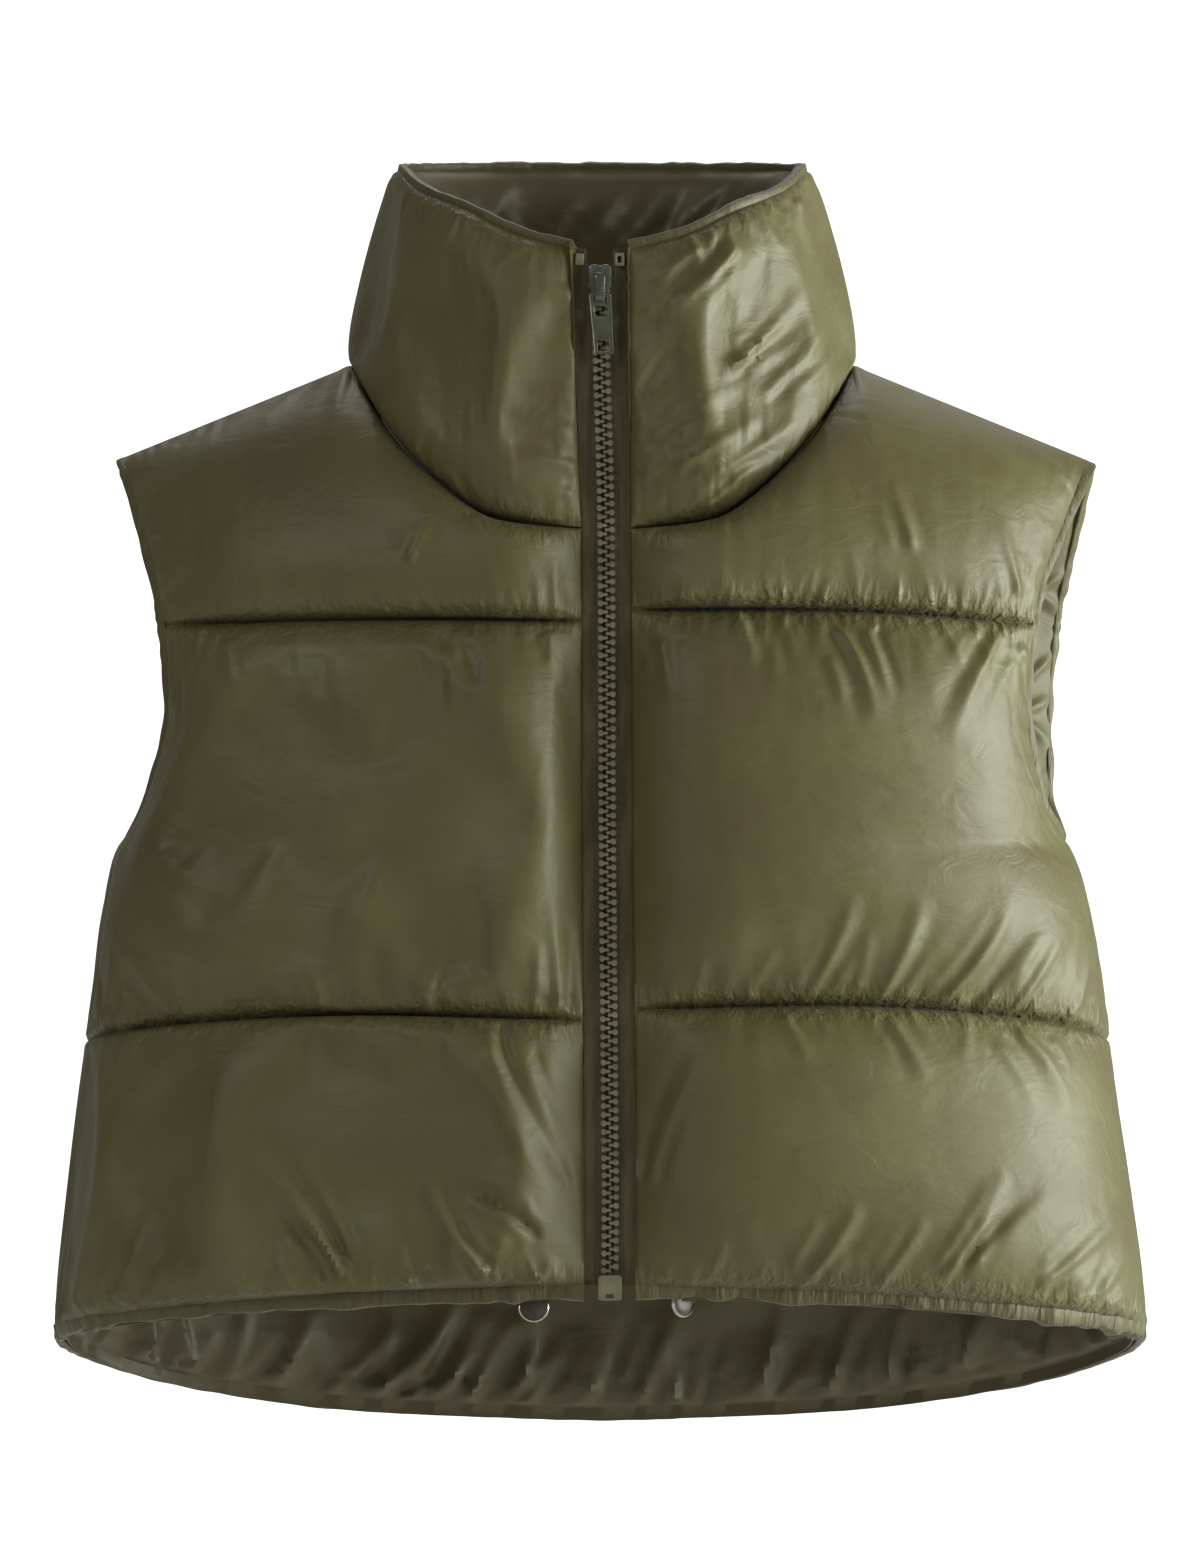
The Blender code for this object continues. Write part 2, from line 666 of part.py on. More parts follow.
def make_chain(fronts, collar_points, collection):
    """The closed chain of the zip as one plain strip, from the box up into the slider."""
    line = [point.z for point in zip_front(fronts[1][0], collar_points, 1)]
    low = BOX_TOP + SEAM_GAP
    high = SLIDER_TOP - SLIDER_LENGTH * 0.55
    heights = [low] + [z for z in line if low + 0.002 < z < high - 0.002] + [high]
    sections = []
    for height in heights:
        middle = read(ZIP_LINE, height, 1)
        back = zip_face(fronts, collar_points, height) - SEAM_GAP
        half = CHAIN_WIDTH / 2
        sections.append([
            Vector((middle - half, back, height)),
            Vector((middle + half, back, height)),
            Vector((middle + half, back - CHAIN_THICKNESS, height)),
            Vector((middle - half, back - CHAIN_THICKNESS, height)),
        ])
    add_loft("zip_chain", sections, "plastic", collection)


def block(centre, size, bevel=0.0004):
    """Box with softened edges as a bmesh."""
    bm = bmesh.new()
    bmesh.ops.create_cube(bm, size=1.0)
    bmesh.ops.scale(bm, vec=size, verts=bm.verts[:])
    bmesh.ops.bevel(bm, geom=bm.edges[:], offset=bevel, segments=1, affect="EDGES")
    bmesh.ops.translate(bm, verts=bm.verts[:], vec=centre)
    return bm


def united(name, blocks, material, collection, cutters, origin=None):
    """One solid: the first block, with the holes cut in it, joined to the others."""
    first, *others = blocks
    piece = add_object(name, first, material, collection, origin)
    guides = bpy.data.collections["cutters"]
    tools = [("DIFFERENCE", bm) for bm in cutters] + [("UNION", bm) for bm in others]
    for k, (operation, bm) in enumerate(tools):
        tool = add_object(f"{name}_tool_{k}", bm, material, guides)
        tool.hide_render = True
        tool.display_type = "WIRE"
        boolean = piece.modifiers.new(f"step_{k}", "BOOLEAN")
        boolean.operation = operation
        boolean.object = tool
    return piece


def make_slider(fronts, collar_points, collection):
    """Slider on the chain: a plate before and behind the tapes, a wedge between, a bridge."""
    middle_height = SLIDER_TOP - SLIDER_LENGTH / 2
    across = read(ZIP_LINE, middle_height, 1)
    face = zip_face(fronts, collar_points, middle_height)
    front_y = face - CHAIN_THICKNESS - SEAM_GAP * 4 - SLIDER_PLATE / 2
    back_y = face + TAPE_THICKNESS + SEAM_GAP * 3 + SLIDER_PLATE / 2
    plate = (SLIDER_WIDTH, SLIDER_PLATE, SLIDER_LENGTH)
    wedge_size = (0.0022, back_y - front_y, 0.0060)
    wedge_height = SLIDER_TOP - 0.0036
    bridge_high, bridge_low = (SLIDER_TOP - end for end in BRIDGE_SPAN)
    bridge_y = front_y - SLIDER_PLATE / 2 - BRIDGE_CLEAR - BRIDGE_DEPTH / 2
    blocks = [
        block(Vector((across, front_y, middle_height)), plate, 0.0005),
        block(Vector((across, (front_y + back_y) / 2, wedge_height)), wedge_size, 0.0002),
        block(Vector((across, back_y, middle_height)), plate, 0.0005),
        block(Vector((across, bridge_y, (bridge_low + bridge_high) / 2)),
              (BRIDGE_WIDTH, BRIDGE_DEPTH, bridge_high - bridge_low), 0.0003),
    ]
    leg = 0.0016
    for height in (bridge_low + leg / 2, bridge_high - leg / 2):
        blocks.append(block(Vector((across, (front_y + bridge_y) / 2, height)),
                            (BRIDGE_WIDTH - 0.0004, front_y - bridge_y, leg), 0.0001))
    united("zip_slider", blocks, "slider", collection, [])
    axis_y = front_y - SLIDER_PLATE / 2 - BRIDGE_CLEAR / 2
    return Vector((across, axis_y, bridge_low + leg + 0.0012))


def rod(centre, radius, length, turn):
    """Round bar as a bmesh, its length turned from +Z to a direction."""
    bm = bmesh.new()
    bmesh.ops.create_cone(bm, cap_ends=True, segments=16, radius1=radius, radius2=radius,
                          depth=length)
    matrix = Vector((0, 0, 1)).rotation_difference(turn).to_matrix()
    bmesh.ops.rotate(bm, verts=bm.verts[:], cent=(0, 0, 0), matrix=matrix)
    bmesh.ops.translate(bm, verts=bm.verts[:], vec=centre)
    return bm


def make_pull(axis, collection):
    """Pull tab, hanging by its cross bar between the slider and its bridge."""
    frame = block(axis - Vector((0, 0, PULL_LENGTH / 2)),
                  (PULL_WIDTH, PULL_THICKNESS, PULL_LENGTH), 0.0003)
    bar = rod(axis, PULL_THICKNESS / 2, PULL_WIDTH, Vector((1, 0, 0)))
    cutters = []
    for top, foot, width in (PULL_WINDOW, PULL_HOLE):
        centre = axis - Vector((0, 0, (top + foot) / 2))
        cutters.append(block(centre, (width, PULL_THICKNESS * 3, foot - top), 0.0002))
    united("zip_pull", [frame, bar], "slider", collection, cutters, axis)


def make_box(fronts, collar_points, collection):
    """Retainer box at the foot of the zip."""
    height = BOX_TOP - BOX_SIZE[2] / 2
    middle = read(ZIP_LINE, height, 1)
    face = zip_face(fronts, collar_points, height)
    bm = block(Vector((middle, face - SEAM_GAP - BOX_SIZE[1] / 2, height)), BOX_SIZE, 0.0007)
    add_object("zip_box", bm, "slider", collection)


def make_stops(fronts, collar_points, collection):
    """Top stop on each tape, beside the open end above the slider."""
    for side, name in ((-1, "zip_stop_right"), (1, "zip_stop_left")):
        height = 0.0462
        middle = read(ZIP_LINE, height, 1) + side * 0.0085
        face = zip_face(fronts, collar_points, height)
        bm = block(Vector((0, 0, 0)), (0.0032, 0.0020, 0.0046), 0.0004)
        bmesh.ops.translate(bm, verts=bm.verts[:],
                            vec=Vector((middle, face - SEAM_GAP * 2 - 0.0010, height)))
        add_object(name, bm, "slider", collection)


def make_studs(collection):
    """Round metal stud at the hem inside each front, on its cloth tab."""
    for across, label in zip(STUD_ACROSS, ("right", "left")):
        tab_top = STUD_HEIGHT + STUD_TAB_RISE
        tab_y = body_point("front", across, tab_top).y + WALL + STUD_TAB[1] / 2 + STUD_SEAT
        tab = block(Vector((across, tab_y, tab_top - STUD_TAB[2] / 2)), STUD_TAB, 0.0002)
        add_object(f"stud_tab_{label}", tab, "lining", collection)
        stud_y = tab_y + (STUD_TAB[1] + STUD_DEPTH) / 2 + SEAM_GAP
        bm = bmesh.new()
        bmesh.ops.create_cone(bm, cap_ends=True, segments=28, radius1=STUD_RADIUS,
                              radius2=STUD_RADIUS * 0.86, depth=STUD_DEPTH)
        turn = Vector((0, 0, 1)).rotation_difference(Vector((0, 1, 0))).to_matrix()
        bmesh.ops.rotate(bm, verts=bm.verts[:], cent=(0, 0, 0), matrix=turn)
        bmesh.ops.translate(bm, verts=bm.verts[:], vec=(across, stud_y, STUD_HEIGHT))
        add_object(f"stud_{label}", bm, "stud", collection)


def main():
    for old in list(bpy.data.objects):
        bpy.data.objects.remove(old)
    vest = bpy.data.collections.new("puffer_vest")
    cutters = bpy.data.collections.new("cutters")
    for collection in (vest, cutters):
        bpy.context.scene.collection.children.link(collection)
    fronts = {side: make_front(side, vest) for side in (-1, 1)}
    halves = make_back(vest)
    backs = {-1: halves[0], 1: halves[1]}
    collar_points, _ = make_collar(fronts, backs, vest)
    make_hem_bands(fronts, backs, vest)
    make_bindings(fronts, backs, vest)
    make_tapes(fronts, collar_points, vest)
    make_chain(fronts, collar_points, vest)
    axis = make_slider(fronts, collar_points, vest)
    make_pull(axis, vest)
    make_box(fronts, collar_points, vest)
    make_stops(fronts, collar_points, vest)
    make_studs(vest)


main()
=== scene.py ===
import math

import bmesh
import bpy
import numpy as np
from bpy.props import FloatProperty, PointerProperty
from mathutils import Matrix, Vector


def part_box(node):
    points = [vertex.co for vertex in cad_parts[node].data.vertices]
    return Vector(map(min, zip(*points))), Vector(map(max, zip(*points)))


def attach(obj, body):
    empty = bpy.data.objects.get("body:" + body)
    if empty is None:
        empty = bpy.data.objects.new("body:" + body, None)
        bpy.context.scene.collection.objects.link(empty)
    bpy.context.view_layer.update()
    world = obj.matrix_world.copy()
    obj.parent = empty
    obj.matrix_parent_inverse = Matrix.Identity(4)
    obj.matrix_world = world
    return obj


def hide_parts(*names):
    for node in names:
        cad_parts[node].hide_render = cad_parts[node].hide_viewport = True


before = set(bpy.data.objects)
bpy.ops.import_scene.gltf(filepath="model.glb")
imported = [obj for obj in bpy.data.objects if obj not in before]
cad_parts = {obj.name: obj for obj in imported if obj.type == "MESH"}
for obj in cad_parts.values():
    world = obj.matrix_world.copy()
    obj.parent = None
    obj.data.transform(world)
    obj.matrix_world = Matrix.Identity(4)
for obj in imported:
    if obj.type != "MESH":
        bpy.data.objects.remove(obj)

bl_info = {
    "name": "Cropped Puffer Vest",
    "version": (1, 0, 0),
    "blender": (4, 5, 0),
    "location": "3D View > Sidebar > Vest",
    "description": "Quilted baffles, linings, trims, zip and studs of a cropped puffer vest",
    "category": "Object",
}

# ---- the form that the shell, trims and linings follow, in metres ----

SEAM_GAP = 0.0003
NECK_GAP = 0.0009
WALL = 0.004
NECK_POINT = (0.1084, 0.0018)
SHOULDER_TIP = (0.2072, -0.0382)
SHOULDER_SLOPE = (SHOULDER_TIP[1] - NECK_POINT[1]) / (SHOULDER_TIP[0] - NECK_POINT[0])
SHOULDER_ROUND = 0.120
ROUNDNESS = 2.4
ARMHOLE_BASE = -0.2050
NECK_FRONT_HEIGHT = -0.0690
NECK_BACK_HEIGHT = -0.0080
HEM_BAND = 0.0050
TRIM_WIDTH = 0.0030
BINDING_GAP = 0.0009

BODY = (  # height, half width, depth of the front, depth of the back, shift of the centre
    (-0.4600, 0.2375, 0.124, 0.118, -0.0010),
    (-0.4180, 0.2350, 0.123, 0.118, -0.0008),
    (-0.3900, 0.2330, 0.121, 0.117, -0.0013),
    (-0.3570, 0.2290, 0.118, 0.115, -0.0018),
    (-0.3140, 0.2232, 0.114, 0.112, -0.0025),
    (-0.2730, 0.2180, 0.110, 0.110, -0.0020),
    (-0.2380, 0.2130, 0.107, 0.108, -0.0030),
    (-0.2140, 0.2075, 0.105, 0.107, -0.0032),
    (-0.2050, 0.2040, 0.104, 0.107, -0.0035),
    (-0.1900, 0.2042, 0.103, 0.107, -0.0005),
    (-0.1500, 0.2080, 0.101, 0.108, 0.0000),
    (-0.1000, 0.2140, 0.098, 0.108, 0.0000),
    (-0.0400, 0.2225, 0.094, 0.104, 0.0010),
    (0.0600, 0.2350, 0.086, 0.094, 0.0010),
)
ARMHOLE = (  # height, half width at the armhole's edge, shift of the centre
    (-0.2050, 0.2040, -0.0035),
    (-0.1900, 0.1958, -0.0023),
    (-0.1740, 0.1918, -0.0002),
    (-0.1560, 0.1885, 0.0018),
    (-0.1400, 0.1880, 0.0024),
    (-0.1200, 0.1892, 0.0026),
    (-0.0950, 0.1928, 0.0026),
    (-0.0660, 0.2000, 0.0024),
    (-0.0382, 0.2072, 0.0018),
)
SHOULDER_SHIFT = 0.0018
ARMHOLE_INSET = {
    ("front", 1): 0.0080,
    ("front", -1): 0.0000,
    ("back", 1): -0.0026,
    ("back", -1): 0.0030,
}
LEVELS = {  # share of the way from the centre to the side, hem, lower seam, upper seam
    "front": (
        (0.00, -0.3970, -0.2785, -0.1080),
        (0.25, -0.4005, -0.2765, -0.1075),
        (0.50, -0.4060, -0.2795, -0.1080),
        (0.75, -0.4115, -0.2840, -0.1090),
        (1.00, -0.4160, -0.2885, -0.1095),
    ),
    "back": (
        (0.00, -0.4540, -0.3040, -0.1120),
        (0.25, -0.4495, -0.3020, -0.1120),
        (0.50, -0.4395, -0.2970, -0.1115),
        (0.75, -0.4270, -0.2920, -0.1105),
        (1.00, -0.4160, -0.2885, -0.1095),
    ),
}
LEFT_SEAM_LIFT = 0.0045
NECKLINE = (
    (0.00, 0.000),
    (0.33, 0.040),
    (0.48, 0.130),
    (0.73, 0.420),
    (0.90, 0.740),
    (1.00, 1.000),
)
PUFF = {"front": (0.0230, 0.0260, 0.0200), "back": (0.0220, 0.0240, 0.0200)}
PUFF_RISE_CENTRE = 0.036  # from the zip edge to the full padding
PUFF_RISE_SIDE = 0.052    # from the side seam or armhole
PUFF_TURNED = 0.10

COLLAR_TOP = (  # turn from the zip in degrees, height
    (0.0, 0.0490),
    (20.0, 0.0570),
    (38.0, 0.0680),
    (60.0, 0.0760),
    (80.0, 0.0842),
    (100.0, 0.0857),
    (180.0, 0.0878),
)
COLLAR_TOP_HALF_WIDTH = 0.0880
COLLAR_TOP_FRONT = 0.0958
COLLAR_TOP_BACK = 0.0640
COLLAR_PUFF = 0.0170
COLLAR_PUFF_TURNED = 0.16
COLLAR_PUFF_INSIDE = 0.0100
COLLAR_TURN_START = 0.075

ZIP_LINE = (  # height, sideways place of the zip, half width of its gap
    (-0.4100, 0.0032, 0.0110),
    (-0.3480, 0.0034, 0.0112),
    (-0.2000, 0.0022, 0.0110),
    (-0.0650, 0.0016, 0.0108),
    (0.0000, -0.0002, 0.0118),
    (0.0490, -0.0012, 0.0126),
)


def read(rows, at, column=1):
    """Read one column of a table where its first column is `at`, along a smooth curve."""
    table = np.array(rows, float)
    keys, values = table[:, 0], table[:, column]
    last = len(keys) - 1
    low = np.maximum(np.arange(last + 1) - 1, 0)
    high = np.minimum(np.arange(last + 1) + 1, last)
    slopes = (values[high] - values[low]) / (keys[high] - keys[low])
    at = np.clip(at, keys[0], keys[last])
    k = np.clip(np.searchsorted(keys, at) - 1, 0, last - 1)
    step = keys[k + 1] - keys[k]
    t = (at - keys[k]) / step
    start = values[k] * (2 * t**3 - 3 * t**2 + 1) + slopes[k] * step * (t**3 - 2 * t**2 + t)
    end = values[k + 1] * (3 * t**2 - 2 * t**3) + slopes[k + 1] * step * (t**3 - t**2)
    return start + end


def pillow(share):
    """Rise of the padding between two seams: 0 on each seam and 1 midway."""
    return np.maximum(1 - abs(2 * share - 1) ** 4.2, 0) ** 0.62


def rise(share):
    """Rise of the padding from an edge: 0 on it, and 1 from a share of 1 on."""
    return np.sin(np.clip(share, 0, 1) * math.pi / 2) ** 0.7


def facing_share(normals, turned):
    """Share of the padding that shows: all in front and behind, little at the sides."""
    return turned + (1 - turned) * normals[..., 1] ** 2


def shoulder_height(across):
    """Height of the shoulder line at a distance from the centre."""
    return NECK_POINT[1] + SHOULDER_SLOPE * (abs(across) - NECK_POINT[0])


def body_form(half, across, height):
    """Points of the front or back half of the body's form over places in the front view."""
    across, height = np.broadcast_arrays(np.asarray(across, float), np.asarray(height, float))
    share = np.minimum(abs(across - read(BODY, height, 4)) / read(BODY, height, 1), 1)
    below = np.clip((shoulder_height(across) - height) / SHOULDER_ROUND, 0, 1)
    turn = (1 - (1 - below) ** 2.2) ** (1 / 2.2)
    deep = (1 - share**ROUNDNESS) ** (1 / ROUNDNESS) * turn
    if half == "front":
        depth = -deep * read(BODY, height, 2) - SEAM_GAP / 2
    else:
        depth = deep * read(BODY, height, 3) + SEAM_GAP / 2
    return np.stack([across, depth, height], axis=-1)


def zip_edge(half, side, height):
    """Sideways place of a front's edge along the zip, or of the back's centre line."""
    if half == "back":
        return read(BODY, height, 4)
    return read(ZIP_LINE, height, 1) + side * read(ZIP_LINE, height, 2)


def outer_edge(half, side, height):
    """Sideways place of a panel's side seam, or of its armhole edge higher up."""
    share = np.clip((height - ARMHOLE_BASE) / (SHOULDER_TIP[1] - ARMHOLE_BASE), 0, 1)
    inset = ARMHOLE_INSET[half, side] * np.minimum(np.sin(share * math.pi) * 1.2, 1)
    above = read(ARMHOLE, height, 2) + side * (read(ARMHOLE, height) - inset)
    below = read(BODY, height, 4) + side * read(BODY, height, 1)
    return np.where(height <= ARMHOLE_BASE, below, above)


def seam_height(half, side, level, share):
    """Height of the hem (1), the lower seam (2) or the upper seam (3) of a panel."""
    height = read(LEVELS[half], share, level)
    if half == "front" and side > 0 and level > 1:
        height = height + LEFT_SEAM_LIFT * (1 - share**2)
    return height


def ring_form(half, side, share, height):
    """Points of a panel at shares of its arc from the centre out, at given heights."""
    centre, width = read(BODY, height, 4), read(BODY, height, 1)

    def turn_at(edge, at):
        away = abs(edge(half, side, at) - read(BODY, at, 4)) / read(BODY, at, 1)
        return np.arccos(np.minimum(away, 1) ** (ROUNDNESS / 2))

    start, end = turn_at(zip_edge, height), turn_at(outer_edge, height)
    even = np.mean([turn_at(outer_edge, height + step) for step in np.linspace(-0.03, 0.03, 7)], 0)
    turn = start + (even - start) * share + (end - even) * share**6
    across = centre + side * width * np.maximum(np.cos(turn), 0) ** (2 / ROUNDNESS)
    return body_form(half, across, height)


def neckline(half, side, share):
    """Places in the front view of a panel's neck seam, from the centre to the neck point."""
    if half == "back":
        drop = (NECK_BACK_HEIGHT - NECK_POINT[1]) * np.cos(share * math.pi / 2)
        return side * share * NECK_POINT[0], NECK_POINT[1] + drop
    low = zip_edge(half, side, NECK_FRONT_HEIGHT)
    steps = [(n / (len(NECKLINE) - 1), *row) for n, row in enumerate(NECKLINE)]
    even = np.linspace(0, 1, 61)
    out, up = (np.interp(share, even, blurred(read(steps, even, k), 40)) for k in (1, 2))
    rising = NECK_POINT[1] - NECK_FRONT_HEIGHT
    return low + (side * NECK_POINT[0] - low) * out, NECK_FRONT_HEIGHT + rising * up


def top_edge(half, side, share):
    """Places in the front view of a panel's top edge: its neck seam, then its shoulder."""
    share = np.asarray(share, float)
    neck = neckline(half, side, np.minimum(share * 2, 1))
    along = np.clip(share * 2 - 1, 0, 1)
    across = NECK_POINT[0] + (SHOULDER_TIP[0] - NECK_POINT[0]) * along
    shifted = side * across + SHOULDER_SHIFT * along
    shoulder = shifted, shoulder_height(shifted)
    return [np.where(share <= 0.5, a, b) for a, b in zip(neck, shoulder)]


def yoke_form(half, side, share, up):
    """Points of the top baffle: its four edges, blended across and up."""
    base = seam_height(half, side, 3, share)
    low = ring_form(half, side, share, base)[..., 0]
    high = top_edge(half, side, share)
    bow = []
    for end, edge in ((0.0, zip_edge), (1.0, outer_edge)):
        foot = seam_height(half, side, 3, end)
        head = top_edge(half, side, end)[1]
        height = foot + (head - foot) * up
        ends = edge(half, side, foot), edge(half, side, head)
        bow.append(edge(half, side, height) - ends[0] - (ends[1] - ends[0]) * up)
    across = low + (high[0] - low) * up + bow[0] * (1 - share) + bow[1] * share
    return body_form(half, across, base + (high[1] - base) * up)


def apart(points, line):
    """How far the points of a grid are from their matches on a seam."""
    return np.linalg.norm(points - line, axis=-1)


def measured(line):
    """How far along a seam each of its points is."""
    return np.insert(np.cumsum(apart(line[1:], line[:-1])), 0, 0)


def unit(vectors):
    """Vectors made one long."""
    return vectors / np.maximum(np.linalg.norm(vectors, axis=-1, keepdims=True), 1e-12)


def squarish(turn, power):
    """Across and up of a ring with flattened sides, at turns round it."""
    across, up = np.cos(turn), np.sin(turn)
    return np.sign(across) * abs(across) ** power, np.sign(up) * abs(up) ** power


def eased(count, crowd):
    """Shares from 0 to 1 that crowd towards both ends."""
    t = np.linspace(0, 1, count + 1)
    return t - crowd * np.sin(2 * math.pi * t) / (2 * math.pi)


def directions_of(points):
    """Outward directions of a grid of points."""
    normals = unit(np.cross(np.gradient(points, axis=1), np.gradient(points, axis=0)))
    i, j = len(points) // 3, points.shape[1] // 4
    if normals[i, j] @ (points[i, j] * (1, 1, 0)) < 0:
        normals = -normals
    return normals


def panel_form(half, side, columns, rows):
    """Stitched surface of one side of a panel, its directions, its padding and its places.

    The places are each point's baffle, share up it and share across.
    """
    share = eased(columns, 0.35)[None, :]
    parts, ups, baffles = [], [], []
    for baffle, count in enumerate(rows):
        up = eased(count, 0.45)[:, None]
        if baffle:
            up = up[1:]
        if baffle == 2:
            parts.append(yoke_form(half, side, share, up))
        else:
            low = seam_height(half, side, baffle + 1, share)
            low = low + (HEM_BAND + SEAM_GAP) * (baffle == 0)
            high = seam_height(half, side, baffle + 2, share)
            parts.append(ring_form(half, side, share, low + (high - low) * up))
        ups.append(up)
        baffles.append(np.full(up.shape, baffle))
    points = np.concatenate(parts)
    up, baffle = np.concatenate(ups), np.concatenate(baffles)
    normals = directions_of(points)
    if half == "front":
        normals[:, 0, 0] = 0
    below = points[:, -1, 2] <= ARMHOLE_BASE + 1e-6
    normals[below, -1] = (side, 0, 0)
    normals[-1, columns // 2:] = (-SHOULDER_SLOPE * side, 0, 1)
    normals /= np.linalg.norm(normals, axis=-1, keepdims=True)
    edge = points[:, -1]
    inwards = np.min([apart(points, point) for point in edge], axis=0)
    full = rise(inwards / PUFF_RISE_SIDE)
    if half == "front":
        full = full * rise(abs(points[..., 0] - points[:, :1, 0]) / PUFF_RISE_CENTRE)
    padding = np.array(PUFF[half])[baffle] * pillow(up) * full * facing_share(normals, PUFF_TURNED)
    places = np.stack(np.broadcast_arrays(baffle, up, share), axis=-1)
    return points, normals, blurred(padding, 6, 1), places


# ---- meshes ----

def points_of(piece):
    """Where the vertices of a piece are, with its modifiers."""
    mesh = piece.evaluated_get(bpy.context.evaluated_depsgraph_get()).data
    found = np.empty(len(mesh.vertices) * 3, np.float32)
    mesh.vertices.foreach_get("co", found)
    return found.reshape(-1, 3).astype(float)


def outward(bm):
    """Turn the faces of a closed bmesh outwards."""
    bmesh.ops.recalc_face_normals(bm, faces=bm.faces[:])
    if bm.calc_volume(signed=True) < 0:
        bmesh.ops.reverse_faces(bm, faces=bm.faces[:])


def grid_of(shape):
    """A bmesh grid with as many rows and columns of vertices as a grid of points."""
    bm = bmesh.new()
    bmesh.ops.create_grid(bm, x_segments=shape[1] - 1, y_segments=shape[0] - 1, size=1)
    return bm


def moved_to(bm, points):
    """Put the vertices of a bmesh on as many points."""
    for vert, point in zip(bm.verts, points):
        vert.co = point


def gather_at(piece, shares):
    """Store how much the cloth is gathered at each vertex, for its material."""
    piece.data.attributes.new("gather", "FLOAT", "POINT").data.foreach_set("value", shares)


def kept(piece, slot, *nodes, body="vest"):
    """Let a piece ride on its body and hide the solids it stands for; `slot`, its finish, is not
    used.
    """
    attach(piece, body)
    if nodes:
        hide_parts(*nodes)


def finished(name, bm, material, angle=40.0):
    """Turn a bmesh into a named object, shaded smooth, with its material."""
    mesh = bpy.data.meshes.new(name)
    bm.to_mesh(mesh)
    bm.free()
    mesh.shade_smooth()
    mesh.set_sharp_from_angle(angle=math.radians(angle))
    if material is not None:
        mesh.materials.append(material)
    piece = bpy.data.objects.new(name, mesh)
    bpy.context.scene.collection.objects.link(piece)
    return piece


def sheet_of(name, points, material=None):
    """Open sheet over a grid of points."""
    piece = finished(name, grid_of(points.shape), material, 180.0)
    piece.data.vertices.foreach_set("co", np.ascontiguousarray(points, np.float32).ravel())
    piece.data.update()
    return piece


def wall_of(name, inner, outer, material, gather=None):
    """Closed wall between two matching grids of points, gathered by the shares in `gather`."""
    bm = grid_of(inner.shape)
    count = len(bm.verts)
    at = bm.verts.layers.int.new("at")
    for k, vert in enumerate(bm.verts):
        vert[at] = k
    grown = bmesh.ops.extrude_face_region(bm, geom=bm.faces[:])["geom"]
    for vert in (item for item in grown if isinstance(item, bmesh.types.BMVert)):
        vert[at] += count
    order = np.array([vert[at] for vert in bm.verts])
    bm.verts.layers.int.remove(at)
    moved_to(bm, np.concatenate([inner.reshape(-1, 3), outer.reshape(-1, 3)])[order])
    outward(bm)
    piece = finished(name, bm, material, 60.0)
    if gather is not None:
        gather_at(piece, np.concatenate([gather.ravel(), gather.ravel()])[order])
    return piece


def finer(grid, axes=(0, 1)):
    """A grid with a new row and column between each two, along smooth curves."""
    for axis in axes:
        g = np.moveaxis(grid, axis, 0)
        ends = np.concatenate([2 * g[:1] - g[1:2], g, 2 * g[-1:] - g[-2:-1]])
        middle = (9 * (ends[1:-2] + ends[2:-1]) - ends[:-3] - ends[3:]) / 16
        out = np.empty((2 * len(g) - 1, *g.shape[1:]))
        out[::2], out[1::2] = g, middle
        grid = np.moveaxis(out, 0, axis)
    return grid


def blurred(values, passes, axis=0):
    """Values evened out with their neighbours along one axis, the ends kept."""
    values = np.moveaxis(np.array(values, float), axis, 0)
    for _ in range(passes):
        values[1:-1] = (values[:-2] + 2 * values[1:-1] + values[2:]) / 4
    return np.moveaxis(values, 0, axis)


def patchy(rng, shape, cells):
    """Smooth random field from 0 to 1 over a grid, with about `cells` patches each way."""
    coarse = rng.random((cells[0] + 3, cells[1] + 3))
    for axis, count in enumerate(shape):
        at = np.linspace(1, cells[axis] + 1, count)
        k = np.minimum(at.astype(int), cells[axis])
        t = at - k
        weights = (
            (1 - t) ** 3 / 6,
            (3 * t**3 - 6 * t**2 + 4) / 6,
            (-3 * t**3 + 3 * t**2 + 3 * t + 1) / 6,
            t**3 / 6,
        )
        coarse = np.moveaxis(coarse, axis, 0)
        parts = [w.reshape(-1, 1) * coarse[k + n - 1] for n, w in enumerate(weights)]
        coarse = np.moveaxis(sum(parts), 0, axis)
    return np.clip((coarse - 0.28) / 0.44, 0, 1)
